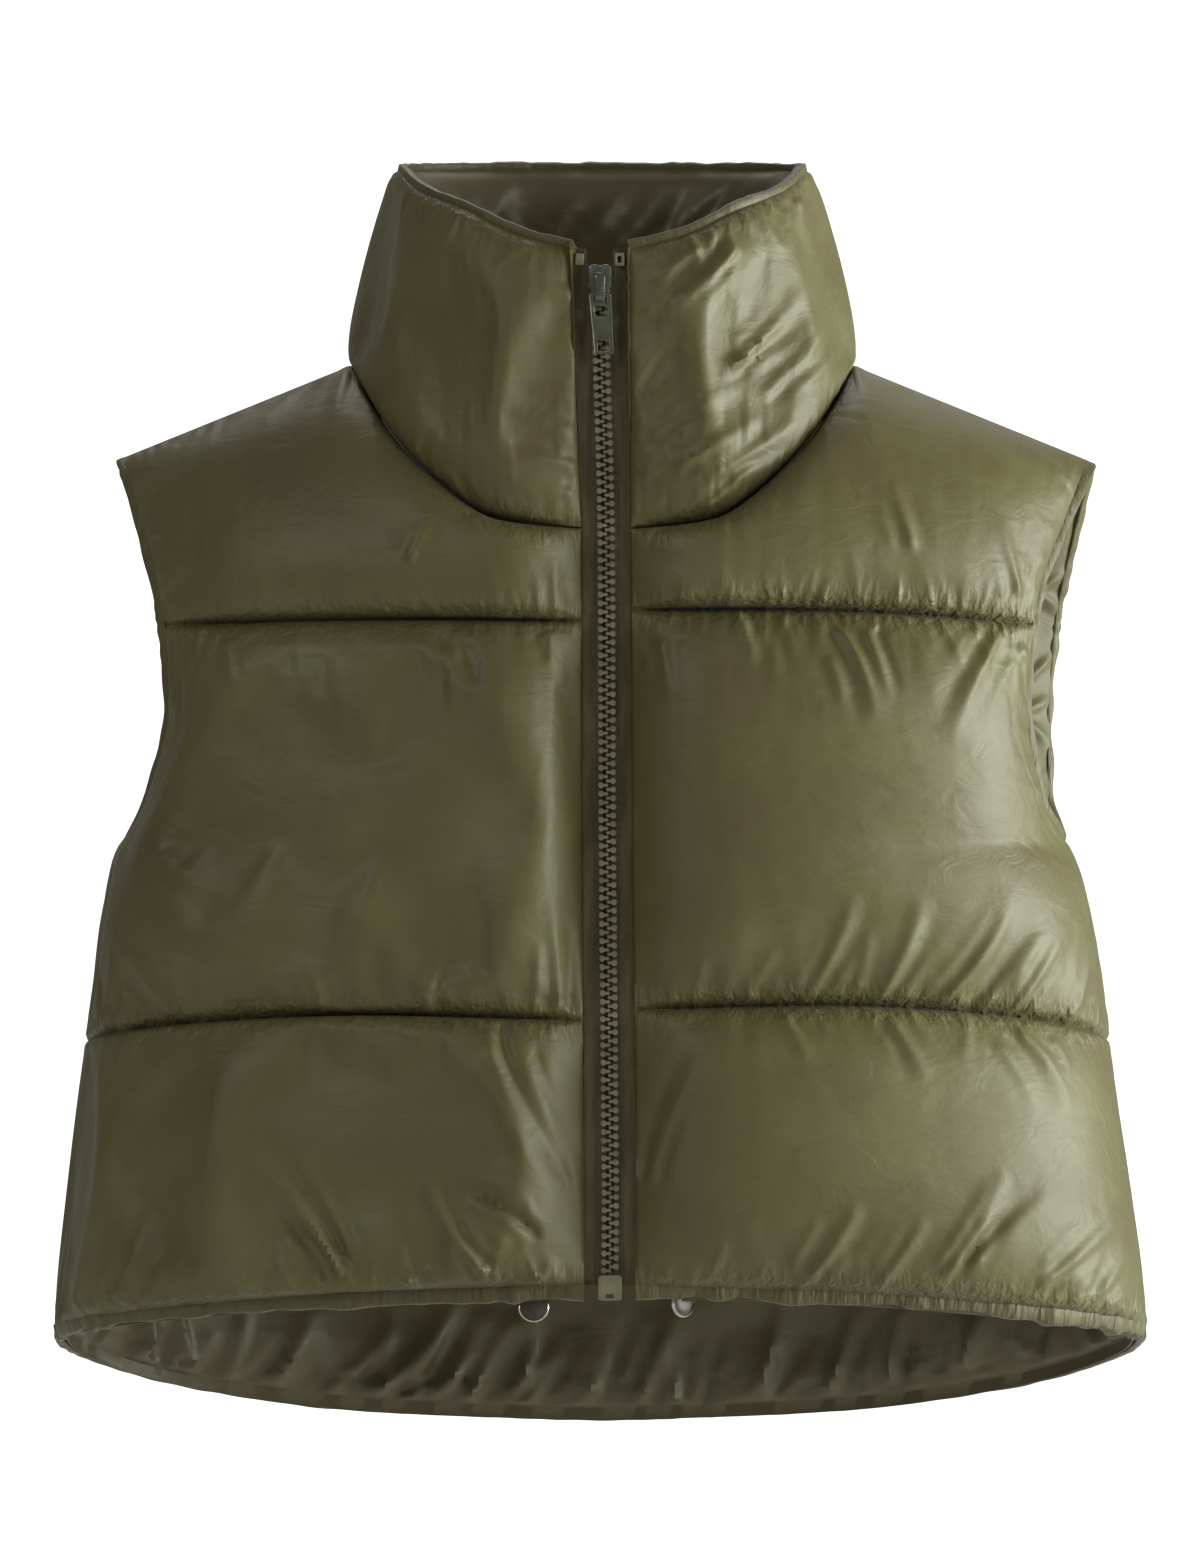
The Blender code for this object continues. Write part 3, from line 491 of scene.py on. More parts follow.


# ---- creases placed one by one, in millimetres ----

# from the deep end (x, z) to the faded end (x, z), width, height (below 0 a trough), bow
CREASES = {
    "front_right": (
        (-80.4, -86, -69.7, -64.5, 3.7, 2.7, 0), (-107.5, -392.6, -147.9, -335.4, 4, 7.2, 4.3),
        (-143.6, -398.2, -156.9, -381.4, 2.1, 3.6, 0),
        (-106.6, -393.4, -129.9, -364.2, 2.3, -3.9, 0),
        (-47.7, -388.7, -74.8, -349.2, 3.4, 6.6, -2.6),
        (-25.8, -372.4, -64.1, -349.2, 2.8, -5.3, 2.6),
        (-43.9, -281.2, -9.5, -352.6, 4.7, -4.8, 4.3), (-9.5, -353, -15.9, -335.4, 2.1, 3, 0),
        (-28.4, -394.3, -20.2, -381.8, 1.8, 3, 0), (-18.1, -276.1, -21.5, -227.9, 3, 4.2, 0),
        (-12.5, -276.1, -13.8, -240.8, 2.1, -3, 0), (-28.8, -276.1, -26.2, -247.2, 2.1, 2.7, 0),
        (-20.2, -110.1, -19.8, -81.7, 2.3, 3, 0), (-22.4, -112.7, -21.5, -128.1, 2.1, 2.7, 0),
        (-181.5, -283.8, -194.4, -249.4, 3.7, 3.6, 1.7),
        (-211.6, -285.5, -203.8, -253.7, 3.3, 3.6, 0),
        (-203, -399.9, -187.9, -361.2, 4.7, 4.2, 2.6), (-218, -412.8, -203, -378.4, 3.3, 3.6, 0),
        (-129.9, -395.6, -135.9, -371.9, 2.1, 2.3, 0), (-78.3, -395.6, -86.9, -374.1, 2.3, 2.7, 0),
        (-187.9, -116.1, -177.2, -150.5, 3.7, 3.6, 0),
        (-155.7, -116.1, -150.5, -137.6, 2.8, 2.3, 0), (-117, -276.9, -122.1, -253.7, 2.5, 2.7, 0),
        (-74, -276.1, -68.8, -251.5, 2.5, 2.7, 0), (-179.3, -210.7, -151.4, -227.9, 5.2, 3, 2.6),
        (-197.8, -75.2, -172.9, -64.5, 3.7, 3.6, 0), (-190.1, -98.9, -170.7, -81.7, 3.3, 3, 0),
    ),
    "front_left": (
        (16.3, -348.3, 37.8, -288.1, 4.1, -4.6, -3.4), (83.4, -393.9, 105.8, -359.1, 3.3, 4.1, 1.7),
        (116.5, -392.6, 132.9, -366.4, 2.8, 3.4, 0), (141.5, -390, 164.3, -346.1, 3.7, 5.5, 1.7),
        (147.5, -383.6, 179.7, -350, 2.8, -3.7, 0), (181.9, -393.9, 216.7, -362.1, 3.3, 3.7, 0),
        (42.1, -395.6, 51.6, -374.1, 2.3, 2.3, 0), (22.8, -395.6, 28.4, -383.6, 1.8, 2.8, 0),
        (98, -110.9, 111.8, -151.4, 3.7, 3.2, -2.6), (114.4, -111.8, 121.3, -137.6, 2.5, -2.3, 0),
        (166.8, -113.5, 141, -161.2, 4, 3.4, 2.6), (181.5, -116.1, 186.6, -142.8, 2.1, -3.2, 0),
        (59.3, -106.6, 62.8, -126.8, 2.3, 2.1, 0), (76.5, -105.8, 79.1, -124.7, 2.1, 1.8, 0),
        (141, -108.4, 149.6, -128.1, 2.3, 2.1, 0), (85.1, -272.6, 103.2, -227, 3.3, 3, 1.7),
        (115.2, -272.6, 130.3, -228.8, 3.7, 3.7, 1.7), (141, -273.9, 166.8, -226.2, 4.1, 4.4, 2.6),
        (154.8, -275.2, 177.2, -238.7, 2.8, -3, 0), (172, -276.5, 190.9, -239.1, 3.3, 3.4, 0),
        (196.9, -281.6, 204.7, -245.1, 3.3, 3, 0), (59.3, -273.5, 72.2, -249.4, 2.5, 2.3, 0),
        (37.8, -274.3, 42.1, -253.7, 2.3, 2.1, 0), (171.1, -283.8, 192.6, -318.2, 4.1, 3, -2.6),
        (119.5, -278.6, 133.3, -305.3, 3.3, 2.5, 0), (76.5, -276.9, 85.1, -296.7, 2.5, 1.8, 0),
        (24.9, -116.1, 28.4, -141.9, 2.8, 2.1, 0), (128.1, -81.7, 119.5, -55.9, 3.3, 2.1, 0),
        (175.4, -98.9, 164.7, -68.8, 3.3, 2.8, 0), (205.5, -399.9, 221.9, -374.1, 2.8, 2.8, 0),
    ),
    "back": (
        (-150, -405, -122, -352, 4.4, 4.6, 3), (-95, -430, -118, -385, 4, 4.1, -3),
        (-40, -447, -62, -398, 3.7, 3.7, 2.6), (30, -449, 58, -395, 4.1, 4.6, 3),
        (88, -436, 80, -390, 3.1, -3.2, 0), (130, -420, 160, -365, 4.4, 4.8, -3),
        (-160, -296, -140, -250, 4, 3.7, 2.6), (-70, -301, -82, -262, 3.3, 2.8, 0),
        (22, -303, 34, -258, 3.7, 3.2, 2), (110, -300, 134, -246, 4.1, 4.1, 2.6),
        (168, -295, 176, -256, 3.1, -2.8, 0), (-120, -303, -138, -344, 3.9, 3, 0),
        (62, -306, 50, -346, 3.9, 3, 0), (-146, -113, -128, -160, 3.9, 3.4, -2.4),
        (-50, -114, -44, -144, 3, 2.3, 0), (74, -113, 92, -156, 3.9, 3.2, 2.4),
        (150, -112, 138, -150, 3.4, 3, 0), (-96, -108, -108, -72, 3.4, 2.5, 0),
        (40, -110, 48, -70, 3.4, 2.5, 0), (128, -106, 118, -72, 3.4, 2.5, 0),
    ),
    "collar": (
        (16.9, 20.9, 30.4, 47.2, 2.6, 3, 0), (51.3, 0.3, 72, 20.7, 2.6, 3.2, 0),
        (19, -30, 55, -9, 3, 3.2, -2), (42, -48, 79, -25, 3.2, 2.8, 0),
        (-10.8, -29.2, -35.3, -18.1, 2.1, 3, 0), (-10.3, -43, -38.7, -36.5, 2.1, 2.8, 0),
        (-12, -54.2, -37.4, -50.3, 1.8, 2.5, 0), (-10.8, -12.9, -28.8, -9.5, 1.8, 2.1, 0),
        (-10.8, 8.6, -26.7, 13.8, 2.1, 1.8, 0), (-11.2, 30.1, -24.5, 34.4, 1.8, 1.8, 0),
        (-56.8, -59.3, -64.5, -43, 2.3, 2.1, 0), (-78.3, -39.6, -69.7, -21.5, 2.8, 1.8, 0),
        (-31, 53.8, -41.7, 40.9, 2.3, 1.8, 0), (-56.8, 67.9, -63.2, 53.8, 2.3, 1.8, 0),
        (52.5, 53.3, 18.9, 20.6, 3.4, 5.1, -3.4), (37.8, 46.4, 16.3, 30.1, 2.3, -3.2, 0),
        (12, -10.8, 27.1, 17.2, 2.8, 4.1, 0), (12.9, 8.6, 24.9, 30.1, 2.1, -2.3, 0),
        (47, -4, 80, 34, 3.6, 2.8, 3), (64, -14, 93, 27, 3.6, 2.6, 2.5),
        (30.1, -43, 64.5, -21.5, 3.3, 3.9, 0), (16.3, -47.3, 37.8, -30.1, 2.3, 2.3, 0),
        (42.1, -61.1, 62.8, -43, 2.8, 2.3, 0), (13.8, -30.1, 28.4, -15, 2.1, 2.8, 0),
        (13.8, -62.4, 27.1, -55.9, 1.8, 2.1, 0), (80.8, 73.1, 85.1, 53.8, 2.8, 2.3, 0),
        (61.5, 66.7, 72.2, 47.3, 2.8, 2.1, 0),
    ),
    "collar_behind": (
        (-60, -4, -42, 34, 3.9, 3.7, 3), (-20, -8, -30, 28, 3.3, 2.8, 0),
        (24, -8, 40, 36, 3.9, 3.7, -3), (66, -3, 58, 30, 3.1, 2.8, 0), (48, 86, 40, 58, 3, 2.3, 0),
        (-44, 86, -52, 60, 3, 2.3, 0),
    ),
    "collar_inside": (
        (4, 52, 36, 86, 4, 3.6, 3), (24, 52, 62, 87, 3.5, 3.2, 0), (-34, 50, -8, 84, 4, -3, 0),
        (48, 56, 80, 85, 4, 3, -2), (-66, 58, -40, 86, 4, 2.8, 0), (-14, 62, 14, 88, 3.5, -2.4, 2),
    ),
    "lining": (
        (-104, -445, -64, -400, 7, 7.5, 4), (-92, -446, -60, -402, 4, -4, 3),
        (-76, -448, -50, -404, 5.5, 5.5, 2), (-60, -449, -33, -406, 5, 6.5, -3),
        (-38, -450, -20, -408, 4, -3.5, 0), (-10, -451, 4, -404, 5, 4.5, 2),
        (16, -451, 36, -402, 6, 5.5, -2), (44, -450, 52, -412, 4, -3.5, 0),
        (62, -448, 78, -404, 6, 5.5, 3), (100, -443, 112, -402, 5, 4.5, 0),
        (128, -438, 134, -402, 4.6, 6.5, -2), (150, -433, 150, -404, 4, -3.5, 0),
        (160, -431, 170, -400, 5, 6, 2), (190, -425, 182, -398, 4, 4.5, 0),
        (-126, -443, -112, -420, 4, -3.5, 0), (-150, -440, -128, -402, 6, 5.5, 3),
        (-186, -433, -172, -414, 4, 5, 0), (-206, -424, -194, -404, 4, 4.5, 0),
        (-84, -300, -70, -240, 5.5, 4, 3), (60, -298, 86, -236, 5.5, 4, -3),
        (-110, -114, -90, -170, 5.5, 4, 3), (96, -114, 70, -172, 5.5, 4, 3),
    ),
}

PUCKERS = {  # strength at the hem, at the seams from below, at the top and at the armhole
    "front_right": (1.1, 0.7, 0.6, 0.3, 0.6),
    "front_left": (1.2, 1.2, 1.0, 0.3, 1.0),
    "back": (0.9, 0.9, 0.8, 0.3, 0.8),
}


FINEST_WIDTH = 1.8       # of a finer crease, in millimetres
NARROWEST = 2.3          # half width of any crease where it is deepest
GATHER_REACH = 0.0075    # how far the gathers reach from a seam, in metres


FINE_PUCKERS = (0.0040, 0.0075, 0.0024)      # spacing, reach and height, in metres
BROAD_PUCKERS = (0.016, 0.016, 0.0020)
EDGE_PUCKERS = (0.012, 0.013, 0.0024)
COLLAR_PUCKERS = (0.0070, 0.008, 0.0016)
LINING_PUCKERS = (0.017, 0.034, 0.0050)


def with_finer(creases):
    """The creases, with two finer and shorter ones beside each."""
    rng = np.random.default_rng(len(creases))
    rows = list(creases)
    for x0, z0, x1, z1, width, height, bow in creases:
        long_x, long_z = x1 - x0, z1 - z0
        length = math.hypot(long_x, long_z)
        for side in (-1, 1):
            off = side * width * rng.uniform(1.3, 2.8)
            start, end, lean = rng.uniform(0, 0.3), rng.uniform(0.5, 0.9), rng.uniform(0.5, 1.5)
            aside_x, aside_z = off * long_z / length, -off * long_x / length
            rows.append((x0 + long_x * start + aside_x, z0 + long_z * start + aside_z,
                         x0 + long_x * end + aside_x * lean, z0 + long_z * end + aside_z * lean,
                         max(width * rng.uniform(0.45, 0.7), FINEST_WIDTH),
                         height * rng.uniform(0.25, 0.5), bow / 2))
    return rows


def folded(points, creases):
    """Height that soft creases add over a surface, each seen from in front."""
    added = np.zeros(points.shape[:2])
    x, z = points[..., 0] * 1000, points[..., 2] * 1000
    for x0, z0, x1, z1, width, height, bow in with_finer(creases):
        length = math.hypot(x1 - x0, z1 - z0)
        ux, uz = (x1 - x0) / length, (z1 - z0) / length
        t = ((x - x0) * ux + (z - z0) * uz) / length
        inside = np.clip(t, 0, 1)
        off = (x - x0) * uz - (z - z0) * ux - bow * 4 * inside * (1 - inside)
        narrow = np.maximum(width * (0.5 + 0.6 * inside), NARROWEST)
        fade = np.minimum(inside / 0.12, 1) ** 0.5 * (1 - inside) ** 0.55
        ridge = np.exp(-abs(off / narrow) ** 1.6) - 0.4 * np.exp(-((off / narrow - 2.0) ** 2))
        added += 0.85 * height * ridge * fade * np.exp(-(((t - inside) * length / width) ** 2))
    return added / 1000


def puckered(rng, along, away, spacing, reach, height):
    """Height that short puckers add beside a seam.

    `along` is how far each point is along the seam, and `away` how far from it, in metres.
    """
    added = np.zeros_like(along)
    at = along.min()
    while at < along.max():
        at += spacing * rng.uniform(0.4, 1.7)
        size, wide = rng.uniform(0.2, 1.0), spacing * rng.uniform(0.16, 0.32)
        slant, far = rng.uniform(-0.5, 0.5), reach * rng.uniform(0.4, 1.4)
        off = along - at - slant * away
        near = abs(off) < wide * 3
        added[near] += height * size * np.exp(-((off[near] / wide) ** 2) - (away[near] / far) ** 2)
    return added * np.clip(away / 0.0015, 0, 1)


def gathered(away):
    """How much the cloth is gathered at a distance from a seam."""
    return np.exp(-((away / GATHER_REACH) ** 2))


# ---- padded pieces ----

SWELL_LIMIT = 0.003      # how far the filling may move the cloth from the cut form
START_FILL = 0.92        # share of the padding before the cloth swells
SEED_NEAR = 0.0005       # unevenness of the cloth beside the seams before it swells
SEED_MIDDLE = 0.00007    # the same midway between them
GROOVE_WIDTH = 0.0011    # of the stitched groove along a seam
GROOVE_DEPTH = 0.0013
COLLAR_RISE = 0.12       # share of the way from the zip to the full padding of the collar


def panel_of(half, sides, columns, rows):
    """Form of a front (one side) or of the back (both), as panel_form gives it."""
    parts = [panel_form(half, side, columns, rows) for side in sides]
    if len(parts) == 1:
        return parts[0]
    joined = [np.concatenate([a[:, ::-1], b[:, 1:]], axis=1) for a, b in zip(*parts)]
    joined[1][:, columns] = unit(joined[1][:, columns - 1] + joined[1][:, columns + 1])
    return joined


def seeded(rng, shape, near):
    """Unevenness for the cloth to gather on: strong where `near` is 1, long up and down."""
    noise = blurred(rng.normal(0, 1, shape), 6, 0)
    patches = 0.25 + 0.75 * patchy(rng, shape, (6, 9))
    return noise * 1.9 * (SEED_MIDDLE + (SEED_NEAR - SEED_MIDDLE) * near * patches)


def swollen(points, normals, padding, pins, near, seed):
    """The outside of a pad once its filling has swollen; `near` is 1 where it gathers most."""
    rng = np.random.default_rng(seed)
    full = points + normals * padding[..., None]
    start = padding * START_FILL + seeded(rng, padding.shape, near)
    begin = points + normals * np.where(pins, padding, start)[..., None]
    moved = swell(begin, pins) - full
    broad = blurred(blurred(moved, 30, 0), 30, 1)
    far = np.maximum(np.linalg.norm(broad, axis=-1, keepdims=True), 1e-9)
    return full + moved - broad + broad / far * SWELL_LIMIT * np.tanh(far / SWELL_LIMIT)


def swell(points, pins, pressure=4.0, frames=20, bending=5.0):
    """Fill a pad with Blender's cloth; `pins` hold it along its seams."""
    piece = sheet_of("filling", points)
    group = piece.vertex_groups.new(name="stitched")
    group.add(np.flatnonzero(pins).tolist(), 1.0, "REPLACE")
    cloth = piece.modifiers.new("Cloth", "CLOTH")
    settings = cloth.settings
    settings.quality = 6
    settings.bending_stiffness = bending
    settings.use_pressure = True
    settings.uniform_pressure_force = pressure
    settings.effector_weights.gravity = 0.0
    settings.vertex_group_mass = "stitched"
    cloth.collision_settings.use_collision = False
    for k in range(1, frames + 1):
        bpy.context.scene.frame_set(k)
    result = points_of(piece).reshape(points.shape)
    bpy.data.objects.remove(piece)
    bpy.context.scene.frame_set(1)
    return result


def quilted(name, half, sides, columns, rows, seed, material):
    """A padded panel of three baffles with its puckers and creases."""
    points, normals, padding, places = panel_of(half, sides, columns, rows)
    seams = np.cumsum((0, *rows))
    pins = np.zeros(padding.shape, bool)
    pins[seams] = True
    pins[:, (0, -1)] = True
    up = places[..., 1]
    near = np.exp(-((np.minimum(up, 1 - up) / 0.15) ** 2))
    outside = finer(swollen(points, normals, padding, pins, near, seed))
    points, normals, padding = finer(points), finer(normals), finer(padding[..., None])
    if half == "front":
        grids = outside, points, normals, padding
        outside, points, normals, padding = (finer(grid, (1,)) for grid in grids)
    normals, padding = unit(normals), padding[..., 0]
    added = folded(points, CREASES[name])
    rng = np.random.default_rng(seed + 50)
    seams = seams * 2
    for n, seam in enumerate(seams):
        along = np.broadcast_to(measured(points[seam]), padding.shape)
        away = apart(points, points[seam])
        strong = PUCKERS[name][n] * (0.25 + 0.75 * patchy(rng, padding.shape, (1, 7)))
        for part in (slice(None, seam), slice(seam, None)):
            if padding[part].size:
                bumps = puckered(rng, along[part], away[part], *FINE_PUCKERS)
                bumps += puckered(rng, along[part], away[part], *BROAD_PUCKERS)
                added[part] += bumps * strong[part]
    for column in (0, -1)[2 - len(sides):]:
        line = points[:, column, None]
        along = np.broadcast_to(measured(line[:, 0])[:, None], padding.shape)
        away = apart(points, line)
        above = np.clip((points[..., 2] - ARMHOLE_BASE) / 0.02, 0.15, 1)
        added += PUCKERS[name][4] * above * puckered(rng, along, away, *EDGE_PUCKERS)
    room = np.clip(padding / 0.004, 0, 1)
    groove = sum(np.exp(-((apart(points, points[seam]) / GROOVE_WIDTH) ** 2))
                 for seam in seams[1:-1])
    outside += normals * (added * room - GROOVE_DEPTH * groove)[..., None]
    gather = np.max([gathered(apart(points, points[seam])) for seam in seams], axis=0)
    piece = wall_of(name + "_pad", points - normals * WALL, outside, material, gather)
    return piece


def collar_form(columns, rows):
    """Stitched surface of the collar from zip edge to zip edge, its directions and shares."""
    ring, facing, shares = [], [], []
    for side in (-1, 1):
        half_ring, half_facing, half_shares = [], [], []
        for half in ("front", "back"):
            points, normals, _, places = panel_form(half, side, columns * 2, (2, 2, 12))
            neck = slice(0, columns + 1)
            share = places[-1, neck, 2]
            order = slice(None) if half == "front" else slice(None, None, -1)
            half_ring.append(points[-1, neck][order])
            half_facing.append(normals[-1, neck][order])
            half_shares.append((share if half == "front" else 1 - share)[order])
        middle = (half_ring[0][-1:] + half_ring[1][:1]) / 2
        half_ring[0][-1:] = middle
        for whole, halves in ((ring, half_ring), (facing, half_facing), (shares, half_shares)):
            whole.append(np.concatenate([halves[0], halves[1][1:]]))
    base, facing, share = (np.concatenate([a, b[::-1][1:]]) for a, b in (ring, facing, shares))
    sides = np.where(np.arange(len(share)) <= len(share) // 2, -1, 1)
    along = unit(np.gradient(base, axis=0))
    into = unit(np.cross(along, facing))
    into[((np.array((0, 0, 0.05)) - base) * into).sum(-1) < 0] *= -1
    base = base + into * NECK_GAP
    turn = COLLAR_TURN_START + (math.pi - COLLAR_TURN_START) * share
    height = read(COLLAR_TOP, np.degrees(turn))
    wide = abs(np.sin(turn)) ** (2 / ROUNDNESS)
    deep = np.copysign(abs(np.cos(turn)) ** (2 / ROUNDNESS), -np.cos(turn))
    reach = np.where(deep < 0, COLLAR_TOP_FRONT, COLLAR_TOP_BACK)
    across = sides * COLLAR_TOP_HALF_WIDTH * wide
    for k, side in ((0, -1), (-1, 1)):
        across[k] = zip_edge("front", side, height[k])
    top = np.stack([across, reach * deep, height], axis=-1)
    up = eased(rows, 0.5)[:, None, None]
    points = base * (1 - up) + top * up
    normals = directions_of(points)
    normals[0] = facing
    normals[:, (0, -1), 0] = 0
    return points, unit(normals), up[..., 0], share[None, :]


def collared(columns, rows, seed, material):
    """The padded stand collar with its puckers and creases."""
    points, normals, up, share = collar_form(columns, rows)
    full = pillow(up) * rise(share / COLLAR_RISE)
    padding = COLLAR_PUFF * blurred(facing_share(normals, COLLAR_PUFF_TURNED), 60, 1) * full
    pins = np.zeros(padding.shape, bool)
    pins[(0, -1), :] = True
    pins[:, (0, -1)] = True
    near = 0.35 * np.exp(-((np.minimum(up, 1 - up) / 0.2) ** 2)) * np.ones_like(padding)
    outside = finer(swollen(points, normals, padding, pins, near, seed))
    inner = finer(points - normals * (WALL + COLLAR_PUFF_INSIDE * full)[..., None])
    points, normals = finer(points), unit(finer(normals))
    padding = finer(padding[..., None])[..., 0]
    added = np.where(points[..., 1] < 0, folded(points, CREASES["collar"]),
                     folded(points, CREASES["collar_behind"]))
    rng = np.random.default_rng(seed + 50)
    ends = []
    for line, strong in ((points[0], 0.6), (points[-1], 0.9)):
        along = np.broadcast_to(measured(line), padding.shape)
        ends.append(apart(points, line))
        added = added + strong * puckered(rng, along, ends[-1], *COLLAR_PUCKERS)
    added *= np.clip(padding / 0.003, 0, 1)
    outside += normals * added[..., None]
    gather = 0.7 * gathered(np.minimum(*ends))
    piece = wall_of("collar_pad", inner, outside, material, gather)
    return piece


# ---- linings, trims and tapes ----

LINING_CLOTH = 0.0004    # thickness of the lining's cloth
LINING_RISE = 0.15       # share of the way in from an edge to the full slack
LINING_LOW, LINING_HIGH = -0.004, 0.009   # how far its folds may stand back or in
STITCH_LIFT = 0.00045    # height of the waves that stitching leaves in an edge
STITCH_REACH = 0.0005    # how far they push its edge out
FACING_WIDTH = 0.0140
FACING_FOLDS = (  # height, lean
    (-0.086, 0.010), (-0.103, -0.008), (-0.122, 0.012), (-0.141, 0.006), (-0.160, -0.010),
)
FACING_COLUMNS = 15


def declare_sheet(points):
    """Work out how large a sheet of cloth was cut, from the grid that it hangs in; the sizes are
    not kept.
    """
    across = apart(points[:, 1:], points[:, :-1]).sum(axis=1)
    up = apart(points[1:], points[:-1]).sum(axis=0)
    one, other = points[1:, :-1], points[:-1, 1:]
    corners = points[:-1, :-1], points[1:, 1:]
    halves = (np.cross(one - corner, other - corner) for corner in corners)
    area = sum(np.linalg.norm(half, axis=-1).sum() for half in halves) / 2
    flat = (float(across.max()), float(up.max()))
    area = min(float(area), flat[0] * flat[1])


def lining_of(name, half, sides, columns, rows, seed, material):
    """Lining inside a panel: it follows the quilting and hangs in soft folds."""
    points, normals, _, places = panel_of(half, sides, columns, rows)
    points, normals, places = finer(points), unit(finer(normals)), finer(places)
    up = np.clip(places[..., 1], 0, 1)
    rng = np.random.default_rng(seed)
    beside_seam = rise((1 - places[..., 2]) / LINING_RISE)
    loose = pillow(up) * beside_seam
    if half == "front":
        loose = loose * rise(places[..., 2] / LINING_RISE)
    waves = patchy(rng, up.shape, (7, 16)) + 0.6 * patchy(rng, up.shape, (16, 30))
    inward = 0.0012 + loose * (0.0030 + 0.0045 * waves)
    if half == "back":
        folds = np.clip(folded(points, CREASES["lining"]), LINING_LOW, LINING_HIGH)
        inward = inward + folds * np.clip(loose * 2, 0, 1)
        along = np.broadcast_to(measured(points[0]), up.shape)
        pulled = puckered(rng, along, apart(points, points[0]), *LINING_PUCKERS)
        inward = inward + pulled * beside_seam
    face = points - normals * (WALL + inward)[..., None]
    hem = face[:1] - np.array((0, 0, HEM_BAND + 0.0002)) - normals[:1] * LINING_CLOTH
    face, normals = np.concatenate([hem, face]), np.concatenate([normals[:1], normals])
    piece = wall_of(name, face, face + normals * LINING_CLOTH, material)
    declare_sheet(face)
    return piece


def rim_of(name, edge, normals, inward, width, material, seed, gap=SEAM_GAP, closed=False,
           tuck=0.0, wavy=1.0):
    """Turned strip of cloth along an edge, rounded, with the slight waves of its stitching."""
    rng = np.random.default_rng(seed)
    before, after = np.roll(edge, 1, axis=0), np.roll(edge, -1, axis=0)
    if not closed:
        before[0], after[-1] = edge[0], edge[-1]
    away = unit(np.cross(unit(after - before), normals))
    away[((inward - edge) * away).sum(-1) > 0] *= -1
    if not closed:
        for k in (0, -1):
            away[k] = (0, 0, math.copysign(1, away[k, 2]))
    count = len(edge)
    even = np.linspace(0, 1, count)
    waves = np.interp(even, np.linspace(0, 1, count // 2), rng.normal(0, 1, count // 2))
    if closed:
        waves *= np.sin(even * math.pi) ** 0.3
    waves = blurred(waves, 1)
    waves += 1.5 * patchy(rng, (count, 1), (max(count // 12, 2), 1))[:, 0] - 0.7
    waves = wavy * waves[:, None, None]
    turn = np.linspace(0, 2 * math.pi, 17)[None, :-1, None]
    reach, lift = squarish(turn, 0.35)
    low, high = -0.0006, gap + width
    middle = edge + away * (low + high) / 2 - normals * WALL / 2
    rings = middle[:, None] + away[:, None] * reach * (high - low) / 2
    outside = (reach + 1) / 2
    rings = rings + normals[:, None] * (lift * (WALL / 2 + STITCH_LIFT * waves) - tuck * outside)
    rings = rings + away[:, None] * STITCH_REACH * waves * outside
    piece = loft_of(name, rings, material, closed)
    gather_at(piece, [0.45 * wavy] * len(piece.data.vertices))
    return piece


def facing_of(name, edge, side, material):
    """Strip of cloth turned in along the back of an armhole, with slack folds across it."""
    edge = finer(edge, (0,)) + np.array((side * 0.0008, -BINDING_GAP - TRIM_WIDTH * 0.8, 0))
    along = np.linspace(0, 1, len(edge))[:, None]
    across = np.linspace(0, 1, FACING_COLUMNS)[None, :]
    wide = FACING_WIDTH * np.minimum(np.sin(along * math.pi) * 2.2, 1)
    rng = np.random.default_rng(51 + side)
    slack = patchy(rng, (len(edge), FACING_COLUMNS), (9, 2)) * 0.0024
    for height, lean in FACING_FOLDS:
        slack = slack + 0.0026 * np.exp(-(((edge[:, 2:] - height + lean * across) / 0.0028) ** 2))
    face = edge[:, None] + (wide * across)[..., None] * np.array((-side, -0.75, 0))
    face = face + (slack * np.sin(across * 2.6))[..., None] * np.array((side * 0.6, -0.8, 0))
    strip = wall_of(name, face + np.array((0, 0.0005, 0)), face, material)
    declare_sheet(face)
    return strip


def loft_of(name, rings, material, closed=False):
    """Solid through rings of points; a closed one comes back to its first ring."""
    if closed:
        rings = np.concatenate([rings, rings[:1]])
    rings = np.concatenate([rings, rings[:, :1]], axis=1)
    bm = grid_of(rings.shape)
    moved_to(bm, rings.reshape(-1, 3))
    bmesh.ops.remove_doubles(bm, verts=bm.verts[:], dist=1e-6)
    edges = [edge for edge in bm.edges if edge.is_boundary]
    if edges:
        bmesh.ops.holes_fill(bm, edges=edges, sides=0)
    outward(bm)
    return finished(name, bm, material)


# ---- zip, in metres ----

TAPE_THICKNESS = 0.0012
TAPE_DEPTH = 0.0014
CHAIN_THICKNESS = 0.0026
SLIDER_TOP = 0.0440
SLIDER_LENGTH = 0.0180
SLIDER_PLATE = 0.0014
PULL_THICKNESS = 0.0016
BOX_TOP = -0.3875


def zip_line(side):
    """The edge that the zip is sewn to, from the hem up to the top of the collar."""
    points, _, _, _ = panel_form("front", side, 12, (40, 50, 30))
    collar, _, _, _ = collar_form(12, 30)
    return np.concatenate([points[:, 0], collar[1:, 0 if side < 0 else -1]])


def zip_depth(height):
    """Depth of the tapes' face at heights along the zip."""
    line = zip_line(1)
    return np.interp(height, line[:, 2], line[:, 1]) + TAPE_DEPTH


